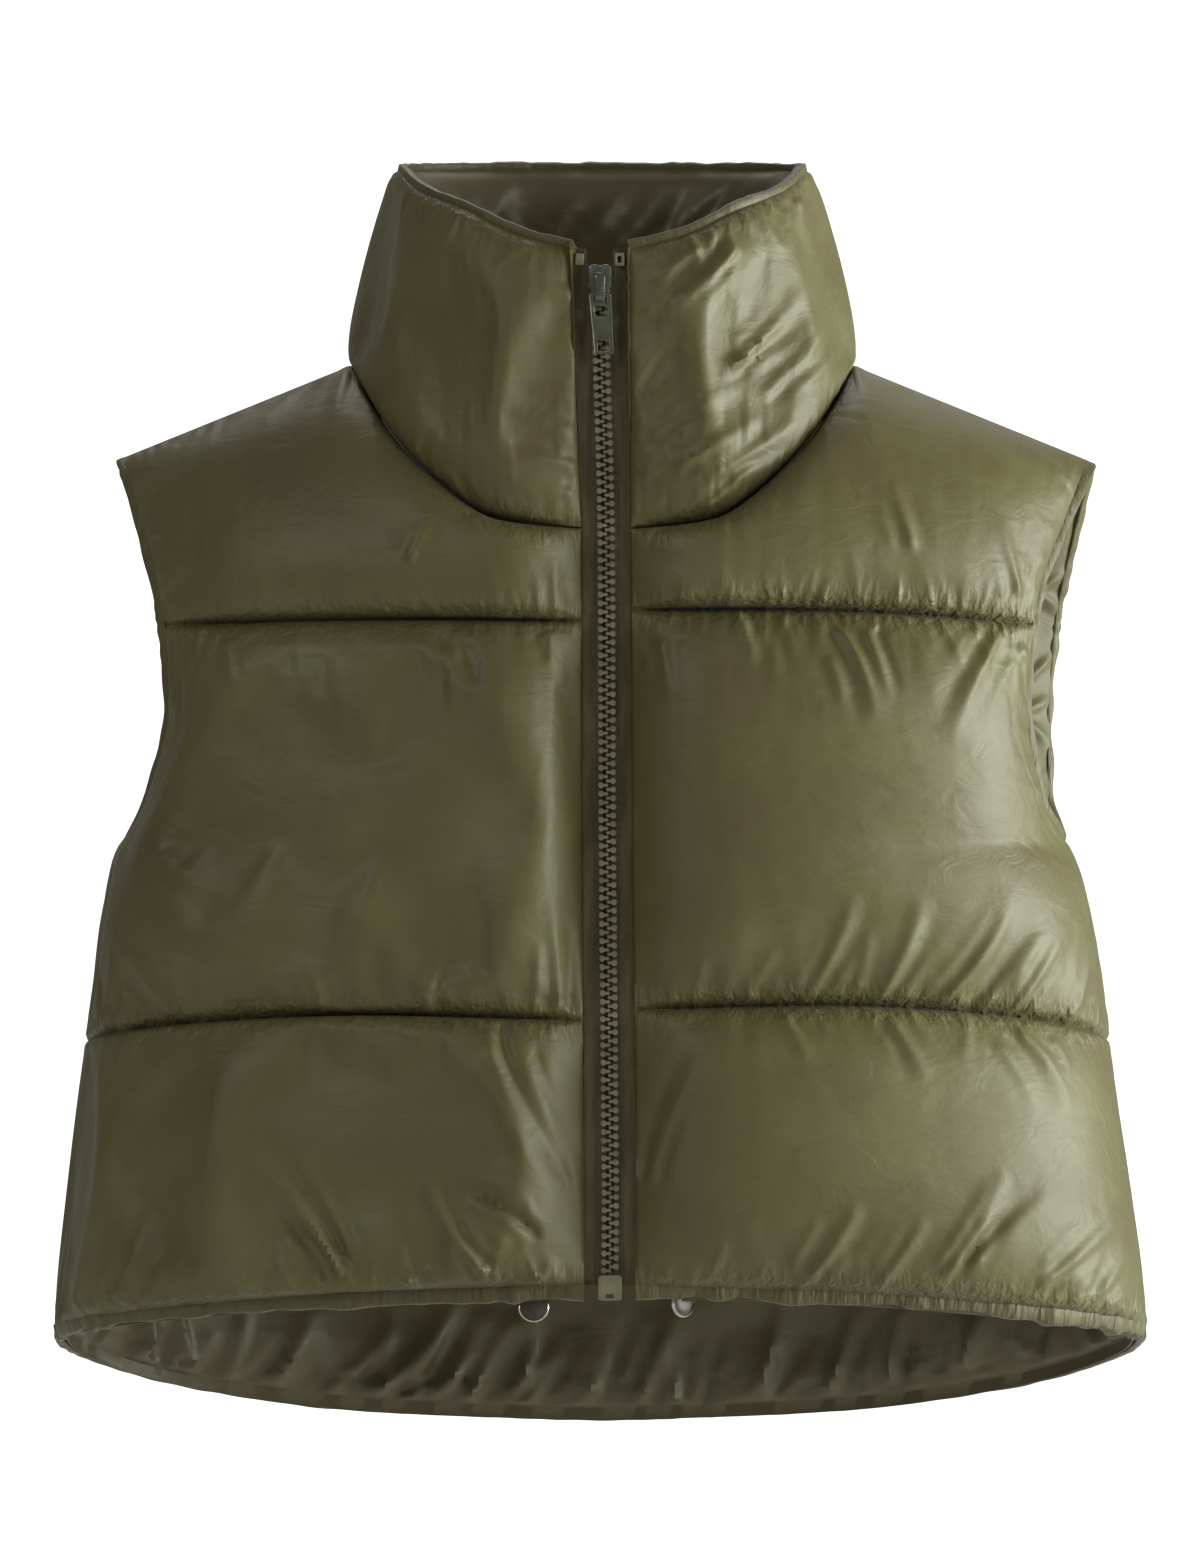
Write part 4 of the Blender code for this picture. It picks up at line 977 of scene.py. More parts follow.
def tape_of(name, side, material):
    """One woven tape of the zip, sewn along its front's edge."""
    line = zip_line(side)
    height = np.linspace(line[0, 2], line[-1, 2], 260)
    outer = np.interp(height, line[:, 2], line[:, 0]) - side * SEAM_GAP
    spread = np.maximum(height - SLIDER_TOP + SLIDER_LENGTH, 0) * 0.22
    inner = read(ZIP_LINE, height, 1) + side * (0.0004 + spread)
    share = np.linspace(0, 1, 13)[None, :]
    across = outer[:, None] * (1 - share) + inner[:, None] * share
    depth = np.interp(height, line[:, 2], line[:, 1]) + TAPE_DEPTH
    ripple = 0.0003 * np.sin(height * 95)[:, None] * share * (1 - share) * 4
    depth = depth[:, None] + (0.0005 * np.sin(share * math.pi) + ripple)
    face = np.stack([across, depth, np.broadcast_to(height[:, None], across.shape)], axis=-1)
    piece = wall_of(name, face + np.array((0, 0.0007, 0)), face, material)
    declare_sheet(face)
    return piece


def piping_of(name, side, low, material):
    """Narrow stitched cord along the collar's edge beside the zip."""
    line = zip_line(side)
    height = np.linspace(low, line[-1, 2] + 0.0008, 90)
    rng = np.random.default_rng(41)
    waves = blurred(rng.normal(0, 0.0002, len(height)), 2)
    across = np.interp(height, line[:, 2], line[:, 0]) - side * 0.0001 + waves
    depth = np.interp(height, line[:, 2], line[:, 1]) - 0.0006 - 2 * waves
    turn = np.linspace(0, 2 * math.pi, 13)[None, :-1]
    swell_by = 1 + 0.16 * np.sin(height * 2 * math.pi / 0.0028)[:, None]
    fade = np.clip((height - low) / 0.012, 0.25, 1)[:, None]
    rings = np.stack([across[:, None] + np.cos(turn) * 0.0008 * swell_by * fade,
                      depth[:, None] + np.sin(turn) * 0.0011 * swell_by * fade,
                      np.broadcast_to(height[:, None], (len(height), 12))], axis=-1)
    return loft_of(name, rings, material)


# ---- materials ----

def linear(code):
    """An sRGB hex colour as linear RGBA."""
    parts = [int(code[k:k + 2], 16) / 255 for k in (1, 3, 5)]
    return (*(p / 12.92 if p <= 0.04045 else ((p + 0.055) / 1.055) ** 2.4 for p in parts), 1.0)


def add_node(material, kind, links=None, **settings):
    """Add a node to a material: `links` feed or set its sockets, and `settings` its options."""
    tree = material.node_tree
    made = tree.nodes.new("ShaderNode" + kind)
    for name, value in settings.items():
        setattr(made, name, value)
    for key, value in (links or {}).items():
        if isinstance(value, bpy.types.NodeSocket):
            tree.links.new(value, made.inputs[key])
        else:
            made.inputs[key].default_value = value
    return made


def new_material(name, roughness, metallic=0.0, **sockets):
    """A material with its shader's plain values set; gives the material and its shader."""
    material = bpy.data.materials.new(name)
    material.use_nodes = True
    shader = material.node_tree.nodes["Principled BSDF"]
    shader.inputs["Roughness"].default_value = roughness
    shader.inputs["Metallic"].default_value = metallic
    for key, value in sockets.items():
        shader.inputs[key.replace("_", " ")].default_value = value
    return material, shader


def tinted(material, shader, factor, stops):
    """Colour a material by a ramp of hex colours over a factor."""
    ramp = add_node(material, "ValToRGB", {"Fac": factor})
    elements = ramp.color_ramp.elements
    while len(elements) < len(stops):
        elements.new(0.5)
    for element, (at, code) in zip(elements, stops):
        element.position = at
        element.color = linear(code)
    material.node_tree.links.new(ramp.outputs["Color"], shader.inputs["Base Color"])


def noise_of(material, size, stretch=(1, 1, 1), detail=4.0, rough=0.5, distortion=0.0):
    """Noise whose patches are `size` metres across, drawn out by `stretch`."""
    coords = add_node(material, "TexCoord")
    mapping = add_node(material, "Mapping", {"Vector": coords.outputs["Object"],
                                             "Scale": [1 / drawn for drawn in stretch]})
    noise = add_node(material, "TexNoise", {
        "Vector": mapping.outputs["Vector"], "Scale": 1 / size, "Detail": detail,
        "Roughness": rough, "Distortion": distortion,
    })
    return noise.outputs["Fac"]


def bumped(material, shader, heights):
    """Relief from (factor, depth in metres) pairs, one bump laid on another."""
    normal = None
    for factor, depth in heights:
        links = {"Height": factor, "Distance": depth, "Strength": 1.0}
        if normal is not None:
            links["Normal"] = normal
        normal = add_node(material, "Bump", links).outputs["Normal"]
    material.node_tree.links.new(normal, shader.inputs["Normal"])


PATCH_SIZE = 0.055       # of the cloth's slightly lighter and darker places
CRINKLE_SIZE = 0.015
GATHER_SIZE = 0.0036     # of the gathers that run away from a seam
GATHER_DEPTH = 0.0026
WEAVE_SIZE = 0.0013
WEAVE_DEPTH = 0.00005
SHINE_SIZE = 0.02        # of the places that are worn a little smoother
RIB_SPACING = 0.0011     # of the zip tape
WAVES_PER_SCALE = 20 / math.pi   # how a wave texture's scale turns into its spacing


def nylon(name, dark, middle, light, gloss, roughness, crinkled=0.0007):
    """Nylon taffeta, woven and calendered: an even weave with a soft gloss and fine crinkles.

    The weave's threads, 0.1 mm apart, are drawn coarser so that they show.
    """
    material, shader = new_material(
        name, roughness, Sheen_Weight=0.05, Sheen_Roughness=0.4, Specular_IOR_Level=0.5,
        Specular_Tint=linear(gloss))
    patches = noise_of(material, PATCH_SIZE, (1.6, 1, 1), 5.0, 0.6)
    tinted(material, shader, patches, ((0.3, dark), (0.5, middle), (0.72, light)))
    crinkle = noise_of(material, CRINKLE_SIZE, (1.7, 1, 0.8), 4.0, 0.55, 0.9)
    weave = noise_of(material, WEAVE_SIZE, (3.0, 1, 0.8), 1.0, 0.4)
    beside = add_node(material, "Attribute", attribute_name="gather").outputs["Fac"]
    fine = noise_of(material, GATHER_SIZE, (1, 1, 9), 2.0, 0.5, 0.3)
    gathers = add_node(material, "Math", {0: fine, 1: beside}, operation="MULTIPLY")
    bumped(material, shader, ((crinkle, crinkled), (gathers.outputs["Value"], GATHER_DEPTH),
                              (weave, WEAVE_DEPTH)))
    rough = add_node(material, "MapRange", {
        "Value": noise_of(material, SHINE_SIZE, (2.0, 1, 1), 3.0, 0.5),
        "To Min": roughness - 0.05, "To Max": roughness + 0.08,
    })
    material.node_tree.links.new(rough.outputs["Result"], shader.inputs["Roughness"])
    return material


def woven_tape(name, dark, light):
    """Polyester zip tape, woven in fine ribs that run along it: matt, slightly uneven."""
    material, shader = new_material(name, 0.8, Sheen_Weight=0.08, Sheen_Roughness=0.5,
                                    Specular_IOR_Level=0.3)
    streaks = noise_of(material, 0.004, (1, 1, 6), 3.0)
    tinted(material, shader, streaks, ((0.35, dark), (0.65, light)))
    coords = add_node(material, "TexCoord")
    ribs = add_node(material, "TexWave", {
        "Vector": coords.outputs["Object"], "Scale": 1 / RIB_SPACING / WAVES_PER_SCALE,
        "Distortion": 0.3,
    }, bands_direction="X")
    bumped(material, shader, ((ribs.outputs["Fac"], 0.00012), (noise_of(material, 0.0009), 0.0001)))
    return material


def moulded(name, dark, light, roughness):
    """Acetal, injection moulded and dyed: smooth, slightly waxy, a little uneven in colour."""
    material, shader = new_material(name, roughness, Specular_IOR_Level=0.5)
    tinted(material, shader, noise_of(material, 0.006, detail=3.0), ((0.35, dark), (0.65, light)))
    bumped(material, shader, ((noise_of(material, 0.0016), 0.00006),))
    return material


def coated_metal(name, dark, light, roughness, metallic):
    """Zinc casting with a thin coloured coat: satin, with softly worn places."""
    material, shader = new_material(name, roughness, metallic)
    tinted(material, shader, noise_of(material, 0.005, detail=4.0), ((0.35, dark), (0.7, light)))
    bumped(material, shader, ((noise_of(material, 0.0012), 0.00005),))
    return material


# ---- hard parts of the zip, and the studs ----

def joined(name, parts, material, angle=35.0):
    """One mesh of small shapes: each a bmesh with the matrices that place its copies."""
    bm = bmesh.new()
    for part, matrices in parts:
        shape = bpy.data.meshes.new(name + "_part")
        part.to_mesh(shape)
        part.free()
        for matrix in matrices:
            start = len(bm.verts)
            bm.from_mesh(shape)
            bm.verts.ensure_lookup_table()
            bmesh.ops.transform(bm, matrix=matrix, verts=bm.verts[start:])
        bpy.data.meshes.remove(shape)
    bmesh.ops.recalc_face_normals(bm, faces=bm.faces[:])
    return finished(name, bm, material, angle)


def rounded(bm, edges, offset, segments=2, clamp=True):
    """Round some edges of a bmesh."""
    bmesh.ops.bevel(bm, geom=edges, offset=offset, segments=segments, profile=0.5,
                    affect="EDGES", material=-1, clamp_overlap=clamp)


def block(size, bevel):
    """Block with rounded edges as a bmesh, its middle at the origin."""
    bm = bmesh.new()
    bmesh.ops.create_cube(bm, size=1.0)
    bmesh.ops.scale(bm, vec=size, verts=bm.verts[:])
    rounded(bm, bm.edges[:], bevel, clamp=False)
    return bm


def slab(outline, thickness, bevel):
    """Plate with a given outline in millimetres, across and up, its middle at the origin."""
    bm = bmesh.new()
    bmesh.ops.create_circle(bm, cap_ends=True, segments=len(outline), radius=1)
    for vert, (x, z) in zip(bm.verts, outline):
        vert.co = (x / 1000, -thickness / 2, z / 1000)
    thicken(bm, thickness)
    rounded(bm, bm.edges[:], bevel)
    return bm


def thicken(bm, thickness):
    """Extrude the flat faces of a bmesh backwards."""
    grown = bmesh.ops.extrude_face_region(bm, geom=bm.faces[:])["geom"]
    moved = [item for item in grown if isinstance(item, bmesh.types.BMVert)]
    bmesh.ops.translate(bm, vec=(0, thickness, 0), verts=moved)
    bmesh.ops.recalc_face_normals(bm, faces=bm.faces[:])


def mirrored(half):
    """Closed outline from its right half, listed from the top down."""
    return [*half, *((-x, z) for x, z in reversed(half) if x > 0)]


def cut_plate(across, heights, holes, thickness, corner, rim=0.0, bevel=0.00015):
    """Plate of cells in millimetres, some left open, its corners rounded and its rim raised.

    `across` gives the places of the cells' edges at each height, and `holes` the open cells.
    """
    columns, rows = len(across[0]), len(heights)
    bm = bmesh.new()
    bmesh.ops.create_grid(bm, x_segments=columns - 1, y_segments=rows - 1, size=1)
    for k, vert in enumerate(bm.verts):
        row, column = divmod(k, columns)
        vert.co = (across[row][column] / 1000, -thickness / 2, heights[row] / 1000)
    open_faces = [face for k, face in enumerate(bm.faces) if divmod(k, columns - 1) in holes]
    bmesh.ops.delete(bm, geom=open_faces, context="FACES")
    ends = [vert for vert in bm.verts if len(vert.link_edges) == 2]
    thicken(bm, thickness)
    corners = [edge for edge in bm.edges if any(vert in ends for vert in edge.verts)
               and abs(edge.verts[0].co.y - edge.verts[1].co.y) > thickness / 2]
    rounded(bm, corners, corner, 4, False)
    if rim:
        front = [face for face in bm.faces if face.normal.y < -0.9]
        bmesh.ops.inset_region(bm, faces=front, thickness=rim, depth=-0.0003, use_even_offset=True)
    sharp = [edge for edge in bm.edges if edge.calc_face_angle(0) > 0.6]
    rounded(bm, sharp, bevel, 1)
    return bm


def at(*place):
    """The matrices of one shape that is moved to a place."""
    return [Matrix.Translation(place)]


TOOTH = (  # right half turned on its side: from the zip's middle out, height
    (-0.5, 0.35), (0.0, 0.72), (0.9, 0.78), (1.3, 0.50), (1.7, 0.95), (2.2, 1.32), (2.9, 1.34),
    (3.5, 1.00), (3.78, 0.45),
)


def tooth():
    """One moulded tooth: a round foot clamped on the tape, a neck and a small head, along +X."""
    return slab([*TOOTH, *((x, -z) for x, z in reversed(TOOTH))], CHAIN_THICKNESS, 0.00028)


BRIDGE_HALF_WIDTH = 0.0022
BRIDGE_HALF_THICKNESS = 0.0007
BRIDGE_PATH = (  # out from the plate and down from the slider's top, in millimetres
    (0.3, -4.0), (-1.5, -4.0), (-2.2, -4.3), (-2.6, -5.0), (-2.75, -6.2), (-2.8, -8.5),
    (-2.8, -11.0), (-2.75, -13.2), (-2.6, -14.4), (-2.2, -15.1), (-1.5, -15.4), (0.3, -15.4),
)


def slider_of(name, material):
    """Slider: two shouldered plates, side walls, a wedge between and a round-ended bridge."""
    middle = float(read(ZIP_LINE, SLIDER_TOP - SLIDER_LENGTH / 2, 1))
    face = float(zip_depth(SLIDER_TOP - SLIDER_LENGTH / 2))
    front = face - CHAIN_THICKNESS - SEAM_GAP * 4 - SLIDER_PLATE / 2
    behind = face + TAPE_THICKNESS + SEAM_GAP * 3 + SLIDER_PLATE / 2
    plate = mirrored(((0.0, -0.7), (1.3, 0.0), (3.7, -0.1), (4.8, -1.3), (4.8, -6.0), (4.1, -9.0),
                      (4.0, -13.5), (4.4, -16.2), (4.1, -18.0), (0.0, -18.0)))
    wall_y = (front + face) / 2 - SEAM_GAP
    parts = [
        (slab(plate, SLIDER_PLATE, 0.0004), at(middle, front, SLIDER_TOP)),
        (slab(plate, SLIDER_PLATE, 0.0004), at(middle, behind, SLIDER_TOP)),
        (block((0.0022, behind - front, 0.0060), 0.0003),
         at(middle, (front + behind) / 2, SLIDER_TOP - 0.0036)),
    ]
    for side in (-1, 1):
        parts.append((block((0.0007, face - SEAM_GAP - front, 0.0080), 0.0002),
                      at(middle + side * 0.0044, wall_y, SLIDER_TOP - 0.0060)))
    body = joined(name, parts, material)
    path = np.array(BRIDGE_PATH) / 1000
    along = unit(np.gradient(path, axis=0))
    turn = np.linspace(0, 2 * math.pi, 17)[None, :-1]
    reach, lift = squarish(turn, 0.6)
    reach, lift = reach * BRIDGE_HALF_WIDTH, lift * BRIDGE_HALF_THICKNESS
    y = path[:, :1] - along[:, 1:] * lift
    z = path[:, 1:] + along[:, :1] * lift
    rings = np.stack([middle + reach + 0 * y, front - SLIDER_PLATE / 2 + y, SLIDER_TOP + z], -1)
    bridge = loft_of(name.replace("body", "bridge"), rings, material)
    return body, bridge


def node_box(node):
    """Middle and size of a node at rest."""
    low, high = (Vector(corner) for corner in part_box(node))
    return (low + high) / 2, high - low


def pull_of(name, material):
    """Pull tab: a bar to hang by, a window round the bridge, a plate and a small hole."""
    middle, size = node_box("zip_pull")
    bar = at(middle.x, middle.y, middle.z + size.z / 2 - PULL_THICKNESS / 2)
    heights = (-25.2, -23.8, -19.2, -9.0, -0.8, 0.8)
    inner = (2.5, 2.5, 2.5, 2.9, 2.9, 2.9)
    across = []
    for z, half in zip(heights, inner):
        wide = 4.7 + 0.025 * z
        across.append([x - 0.07 * min(z, 0) for x in (-wide, -half, half, wide)])
    bm = cut_plate(across, heights, {(1, 1), (3, 1)}, PULL_THICKNESS, 0.0008, 0.0006)
    return joined(name, [(bm, bar)], material)


STUD_FACE = (  # from the axis out, and forwards, in millimetres
    (0.0, -1.5), (3.4, -1.35), (5.2, -0.95), (6.0, -0.5), (6.0, 0.4), (3.0, 1.0), (0.0, 1.0),
)
STUD_RIM = (
    (5.7, -0.7), (6.1, -1.05), (6.55, -0.8), (6.7, -0.2), (6.4, 0.5), (5.7, 0.7), (5.7, -0.7),
)


def stud_parts(label, at_place, turn, enamel, steel):
    """Snap stud: a dark domed face in a thin bright rim, seen under the hem."""
    made = []
    turned = Matrix.Translation(at_place) @ Matrix.Rotation(turn, 4, "Z")
    for name, profile, material in (("face", STUD_FACE, enamel), ("rim", STUD_RIM, steel)):
        bm = bmesh.new()
        verts = [bmesh.ops.create_vert(bm, co=(x / 1000, y / 1000, 0))["vert"][0]
                 for x, y in profile]
        for a, b in zip(verts, verts[1:]):
            bmesh.ops.contextual_create(bm, geom=[a, b])
        bmesh.ops.spin(bm, geom=bm.verts[:] + bm.edges[:], cent=(0, 0, 0), axis=(0, 1, 0),
                       dvec=(0, 0, 0), angle=2 * math.pi, steps=40, use_merge=True,
                       use_duplicate=False)
        bmesh.ops.remove_doubles(bm, verts=bm.verts[:], dist=2e-6)
        bmesh.ops.recalc_face_normals(bm, faces=bm.faces[:])
        bmesh.ops.transform(bm, matrix=turned, verts=bm.verts[:])
        made.append(finished(f"stud_{name}_{label}", bm, material, 50))
    return made


def teeth_of(name, pitch, material):
    """The two rows of meshed teeth, from the retainer box up into the slider."""
    low, high = BOX_TOP + 0.0018, SLIDER_TOP - SLIDER_LENGTH * 0.5
    matrices = []
    for side in (-1, 1):
        for height in np.arange(low + (pitch / 2 if side > 0 else 0), high, pitch):
            middle = float(read(ZIP_LINE, height, 1))
            depth = float(zip_depth(height)) - CHAIN_THICKNESS / 2
            place_at = Matrix.Translation((middle, depth, height))
            matrices.append(place_at @ Matrix.Diagonal((side, 1, 1, 1)))
    return joined(name, [(tooth(), matrices)], material, 40.0)


# ---- stage ----

FLOOR_HALF_WIDTH = 1.6
FLOOR_LENGTH = 8.0
FLOOR_REAR = 4.2         # how far behind the vest the floor ends
PANEL_DISTANCE = 27.0    # behind the vest, past any camera that looks at its back
PANEL_SIZE = 3.4
VEST_MIDDLE = -0.18      # height that the lights look at
WORLD_STRENGTH = 0.19
LIGHTS = (  # name, place, width, height, watts, colour
    ("key_right", (2.2, -0.15, -0.2), 1.4, 1.5, 96, (0.95, 1.0, 1.0)),
    ("fill_left", (-2.0, -2.6, 1.6), 1.0, 1.0, 25, (1, 1, 1)),
    ("fill_right", (2.3, -1.9, 0.5), 0.7, 0.7, 17, (1, 1, 1)),
    ("top_behind", (0.0, 1.6, 2.2), 1.6, 1.6, 26, (1, 1, 1)),
)
CAMERA_PLACE = (-0.0009, -15.0, -0.1763)
CAMERA_LENS = 805        # in millimetres, on a sensor 36 mm wide


def plain(name, code, **sockets):
    """Matt white paper or acrylic of one colour, which glows if its sockets say so."""
    return new_material(name, 0.9, Base_Color=linear(code), **sockets)[0]


def soft_box(name, place, width, height, power, colour):
    """Area light that looks at the vest."""
    light = bpy.data.lights.new(name, "AREA")
    light.shape = "RECTANGLE"
    light.size, light.size_y = width, height
    light.energy = power
    light.color = colour
    lamp = bpy.data.objects.new(name, light)
    lamp.location = place
    aim = Vector((0, 0, VEST_MIDDLE)) - Vector(place)
    lamp.rotation_euler = aim.to_track_quat("-Z", "Y").to_euler()
    bpy.context.scene.collection.objects.link(lamp)


# ---- sizes a user may change ----

class VestSizes(bpy.types.PropertyGroup):
    """Sizes of the vest's finer parts."""
    tooth_pitch: FloatProperty(
        name="Tooth pitch", description="From one tooth to the next on a tape",
        default=0.0037, min=0.002, max=0.006, unit="LENGTH", precision=4)
    floor_drop: FloatProperty(
        name="Floor", description="Height of the floor, from the shoulders",
        default=-0.62, unit="LENGTH")


OPERATORS = []
SIDES = ((-1, "right"), (1, "left"))   # of the wearer
TRIM_GRID = (110, (22, 64, 40))        # columns and rows of the form that the trims follow
STUD_TURNS = {"right": (0.0, 0.0), "left": (0.8, 0.0020)}   # turn in radians, rise
TAB_FROM_FOOT = 0.0062                 # where a tab's stitching starts
TAB_SLACK = 0.0006


def operator(cls):
    """Keep an operator in the order in which the vest is made."""
    OPERATORS.append(cls)
    return cls


@operator
class VEST_OT_shell(bpy.types.Operator):
    """Make the padded fronts, back and collar"""
    bl_idname = "vest.shell"
    bl_label = "Padded shell"

    def execute(self, context):
        shell = nylon("nylon_taffeta_shell", "#534b2a", "#57512d", "#5f5c37", "#f0f3e6", 0.49)
        for node, half, sides, columns, rows, seed in (
            ("front_right", "front", (-1,), 50, (28, 40, 24), 11),
            ("front_left", "front", (1,), 50, (28, 40, 24), 12),
            ("back", "back", (-1, 1), 54, (28, 38, 20), 13),
        ):
            kept(quilted(node, half, sides, columns, rows, seed, shell), "shell", node)
        kept(collared(50, 32, 14, shell), "shell", "collar")
        return {"FINISHED"}


@operator
class VEST_OT_linings(bpy.types.Operator):
    """Make the linings"""
    bl_idname = "vest.linings"
    bl_label = "Linings"

    def execute(self, context):
        lining = nylon("nylon_lining", "#4a432f", "#534d36", "#5d573e", "#f4f0d8", 0.42, 0.0004)
        kept(lining_of("lining_back", "back", (-1, 1), 62, (40, 16, 10), 21, lining),
             "lining", "back_lining")
        for side, name in SIDES:
            kept(lining_of(f"lining_front_{name}", "front", (side,), 22, (14, 20, 12),
                           22 + side, lining), "lining")
        points, normals, up, share = collar_form(30, 16)
        full = pillow(up) * rise(share / COLLAR_RISE)
        rng = np.random.default_rng(24)
        waves = patchy(rng, full.shape, (3, 22)) * 0.004 + patchy(rng, full.shape, (6, 40)) * 0.002
        behind = np.where(points[..., 1] > 0, folded(points, CREASES["collar_inside"]), 0)
        depth = WALL + 0.0008 + (COLLAR_PUFF_INSIDE + waves) * full + behind * full
        face = points - normals * depth[..., None]
        turned = unit(face[-1:] - face[-2:-1]) * (TRIM_WIDTH - LINING_CLOTH)
        face = finer(np.concatenate([face, face[-1:] + turned]))
        around = unit(finer(np.concatenate([normals, normals[-1:]])))
        collar = wall_of("lining_collar", face, face + around * LINING_CLOTH, lining)
        declare_sheet(face)
        kept(collar, "lining", "collar_lining")
        return {"FINISHED"}


@operator
class VEST_OT_trims(bpy.types.Operator):
    """Make the hem bands, the armhole bindings and the collar's top band"""
    bl_idname = "vest.trims"
    bl_label = "Trims"

    def execute(self, context):
        # The turned edges use the shell's nylon in darker colours: painted shade where hems,
        # bindings, facings and the collar's top turn under.
        trim = nylon("nylon_turned_edge_painted_shade", "#4c4425", "#504a2a", "#585431", "#f0f3e6", 0.52)
        for side, label in SIDES:
            points, normals = panel_form("front", side, *TRIM_GRID)[:2]
            kept(rim_of(f"hem_turned_front_{label}", points[0], normals[0], points[1], HEM_BAND,
                        trim, 31 + side, tuck=0.0018, wavy=1.7), "trim", f"hem_band_front_{label}")
            back, behind = panel_form("back", side, *TRIM_GRID)[:2]
            base = int(np.argmax(points[:, -1, 2] > ARMHOLE_BASE - 1e-6))
            edge = np.concatenate([
                points[-2:base:-1, -1],
                (points[base:base + 1, -1] + back[base:base + 1, -1]) / 2,
                back[base + 1:-1, -1],
                (points[-1:, -1] + back[-1:, -1]) / 2,
            ])
            facing = np.concatenate([normals[-2:base - 1:-1, -1], behind[base + 1:, -1]])
            middle = np.array((edge[0, 0], 0.0, (edge[-1, 2] + ARMHOLE_BASE) / 2))
            kept(rim_of(f"armhole_turned_{label}", edge, facing, 2 * edge - middle, TRIM_WIDTH,
                        trim, 35 + side, BINDING_GAP, True), "trim", f"armhole_binding_{label}")
            kept(facing_of(f"armhole_facing_{label}", back[base + 1:-3, -1], side, trim), "trim")
        points, normals = panel_of("back", (-1, 1), *TRIM_GRID)[:2]
        kept(rim_of("hem_turned_back", points[0], normals[0], points[1], HEM_BAND, trim, 33,
                    wavy=0.4), "trim", "hem_band_back")
        points, normals, _, _ = collar_form(70, 26)
        kept(rim_of("collar_turned_edge", points[-1], normals[-1], points[-2], TRIM_WIDTH, trim,
                    38, wavy=0.5), "trim", "collar_band")
        kept(piping_of("collar_piping", 1, -0.030, trim), "trim")
        return {"FINISHED"}


@operator
class VEST_OT_zip(bpy.types.Operator):
    """Make the tapes and the teeth, and finish the slider, pull, box and stops"""
    bl_idname = "vest.zip"
    bl_label = "Zip"

    def execute(self, context):
        tape = woven_tape("polyester_tape", "#443c28", "#544b35")
        plastic = moulded("moulded_acetal", "#66634a", "#757256", 0.24)
        for side, label in SIDES:
            kept(tape_of(f"tape_{label}", side, tape), "tape", f"zip_tape_{label}")
        pitch = context.scene.vest_sizes.tooth_pitch
        kept(teeth_of("teeth", pitch, plastic), "zip_plastic", "zip_chain")
        coat = coated_metal("coated_zinc", "#55574a", "#67695a", 0.25, 0.5)
        for piece in slider_of("slider_body", coat):
            kept(piece, "zip_metal", "zip_slider")
        kept(pull_of("pull_tab", coat), "zip_metal", "zip_pull", body="pull")
        size = node_box("zip_box")[1] * 1000
        foot = -size.z / 2
        for name, node, columns, rows, holes, thickness, corner, bevel in (
            ("retainer_box", "zip_box", (-size.x / 2, -1.9, 1.6, size.x / 2),
             (foot, foot + 1.0, foot + 2.8, -foot), {(1, 1)}, size.y / 1000, 0.0017, 0.0004),
            ("top_stop_right", "zip_stop_right", (-1.9, 0.4, 1.9), (-2.5, 1.2, 2.5), set(),
             0.0020, 0.0006, 0.0003),
            ("top_stop_left", "zip_stop_left", (-2.2, -0.9, 0.9, 2.2), (-2.8, -1.4, 1.4, 2.8),
             {(1, 1)}, 0.0020, 0.0006, 0.0003),
        ):
            plate = cut_plate([columns] * len(rows), rows, holes, thickness, corner, 0.0, bevel)
            piece = joined(name, [(plate, at(*node_box(node)[0]))], plastic)
            kept(piece, "zip_plastic", node)
        return {"FINISHED"}


@operator
class VEST_OT_studs(bpy.types.Operator):
    """Finish the studs and their tabs"""
    bl_idname = "vest.studs"
    bl_label = "Studs"

    def execute(self, context):
        steel = coated_metal("polished_steel", "#b5b2a8", "#d2cfc4", 0.18, 1.0)
        enamel = coated_metal("brown_enamel", "#3a342a", "#464034", 0.35, 0.3)
        cloth = nylon("nylon_tab", "#453d29", "#4e4830", "#575238", "#f4eecb", 0.5)
        for label, (turn, rise_by) in STUD_TURNS.items():
            place = node_box(f"stud_{label}")[0] + Vector((0, 0, rise_by))
            for piece in stud_parts(label, place, turn, enamel, steel):
                kept(piece, "stud", f"stud_{label}")
            low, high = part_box(f"stud_tab_{label}")
            wide, tall = (high[0] - low[0]) / 2, high[2] - low[2] - TAB_FROM_FOOT
            across, up = np.meshgrid(np.linspace(-wide, wide, 13), np.linspace(0, tall, 17))
            narrow = 1 - 0.35 * np.clip(1 - up / 0.006, 0, 1) ** 2
            ripple = 0.0003 * np.sin(up * 420 + across * 300)
            face = np.stack([(low[0] + high[0]) / 2 + across * narrow, low[1] + 0.0002 + ripple,
                             high[2] - tall + up], axis=-1)
            behind = np.array((0, high[1] - low[1] - TAB_SLACK, 0))
            tab = wall_of(f"tab_{label}", face + behind, face, cloth)
            declare_sheet(face)
            kept(tab, "lining", f"stud_tab_{label}")
        return {"FINISHED"}


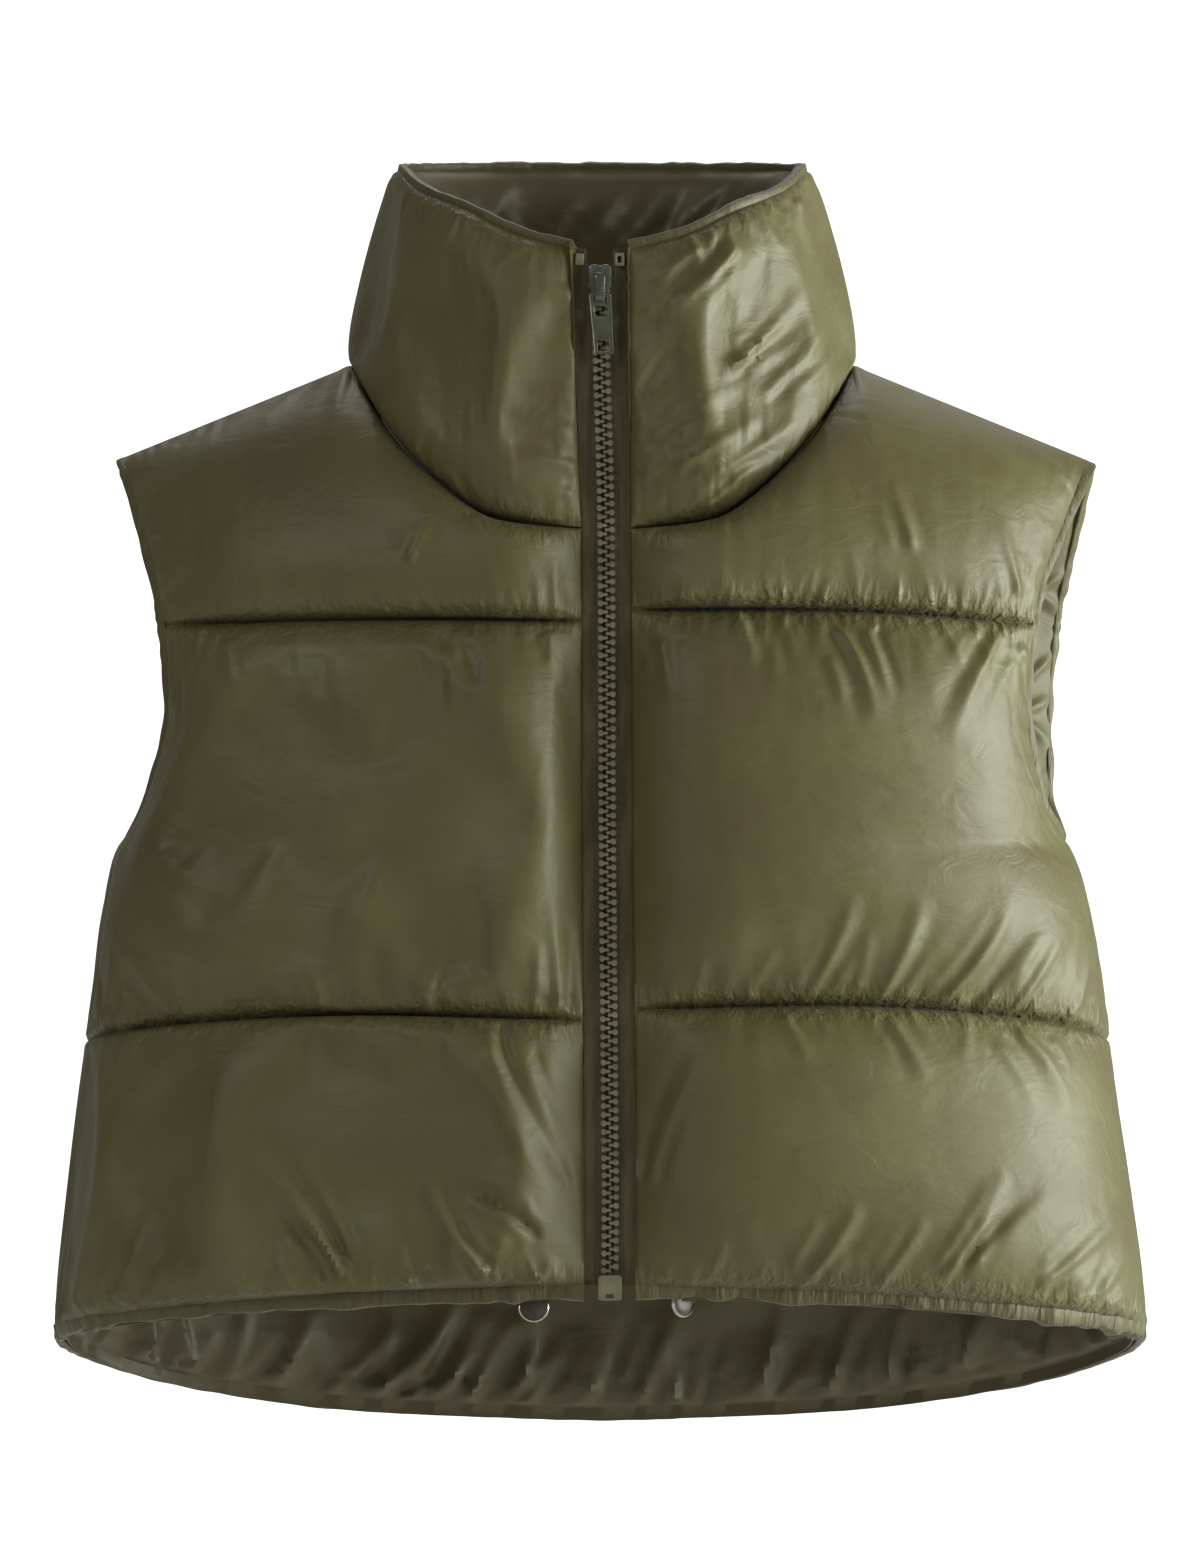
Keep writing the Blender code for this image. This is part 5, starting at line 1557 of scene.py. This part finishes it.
@operator
class VEST_OT_stage(bpy.types.Operator):
    """Set the floor, the backdrop, the lights and the camera"""
    bl_idname = "vest.stage"
    bl_label = "Stage"

    def execute(self, context):
        scene = context.scene
        floor = scene.vest_sizes.floor_drop
        bm = bmesh.new()
        bmesh.ops.create_grid(bm, x_segments=8, y_segments=24, size=1)
        for vert in bm.verts:
            behind = FLOOR_REAR + (vert.co.y - 1) * FLOOR_LENGTH / 2
            vert.co = (vert.co.x * FLOOR_HALF_WIDTH, behind, floor)
        finished("floor", bm, plain("white_paper", "#f4f4f2"), 180)
        bm = bmesh.new()
        upright = Matrix.Rotation(math.pi / 2, 4, "X")
        bmesh.ops.create_grid(bm, x_segments=4, y_segments=4, size=PANEL_SIZE / 2,
                              matrix=at(0, PANEL_DISTANCE, VEST_MIDDLE)[0] @ upright)
        lit = plain("white_lit_acrylic", "#ffffff", Emission_Color=linear("#ffffff"),
                    Emission_Strength=1.1)
        finished("lit_panel", bm, lit, 180)
        world = bpy.data.worlds.new("studio")
        world.use_nodes = True
        background = world.node_tree.nodes["Background"]
        background.inputs["Color"].default_value = (1, 1, 1, 1)
        background.inputs["Strength"].default_value = WORLD_STRENGTH
        scene.world = world
        for light in LIGHTS:
            soft_box(*light)
        camera = bpy.data.cameras.new("camera")
        camera.lens = CAMERA_LENS
        camera.sensor_width = 36
        camera.sensor_fit = "AUTO"
        camera.clip_end = 60
        holder = bpy.data.objects.new("camera", camera)
        holder.location = CAMERA_PLACE
        holder.rotation_euler = (math.pi / 2, 0, 0)
        scene.collection.objects.link(holder)
        scene.camera = holder
        scene.view_settings.view_transform = "Standard"
        return {"FINISHED"}


class VEST_PT_panel(bpy.types.Panel):
    """Steps that make the vest"""
    bl_idname = "VEST_PT_panel"
    bl_label = "Vest"
    bl_space_type = "VIEW_3D"
    bl_region_type = "UI"
    bl_category = "Vest"

    def draw(self, context):
        for name in VestSizes.__annotations__:
            self.layout.prop(context.scene.vest_sizes, name)
        for step in OPERATORS:
            self.layout.operator(step.bl_idname)


CLASSES = [VestSizes, *OPERATORS, VEST_PT_panel]


def register():
    """Register the classes and the sizes that the scene holds."""
    for cls in CLASSES:
        bpy.utils.register_class(cls)
    bpy.types.Scene.vest_sizes = PointerProperty(type=VestSizes)


def unregister():
    """Take the classes and the sizes out again."""
    del bpy.types.Scene.vest_sizes
    for cls in reversed(CLASSES):
        bpy.utils.unregister_class(cls)


def main():
    """Make the vest step by step."""
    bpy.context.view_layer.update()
    register()
    for step in OPERATORS:
        group, name = step.bl_idname.split(".")
        getattr(getattr(bpy.ops, group), name)()


if __name__ == "__main__":
    main()
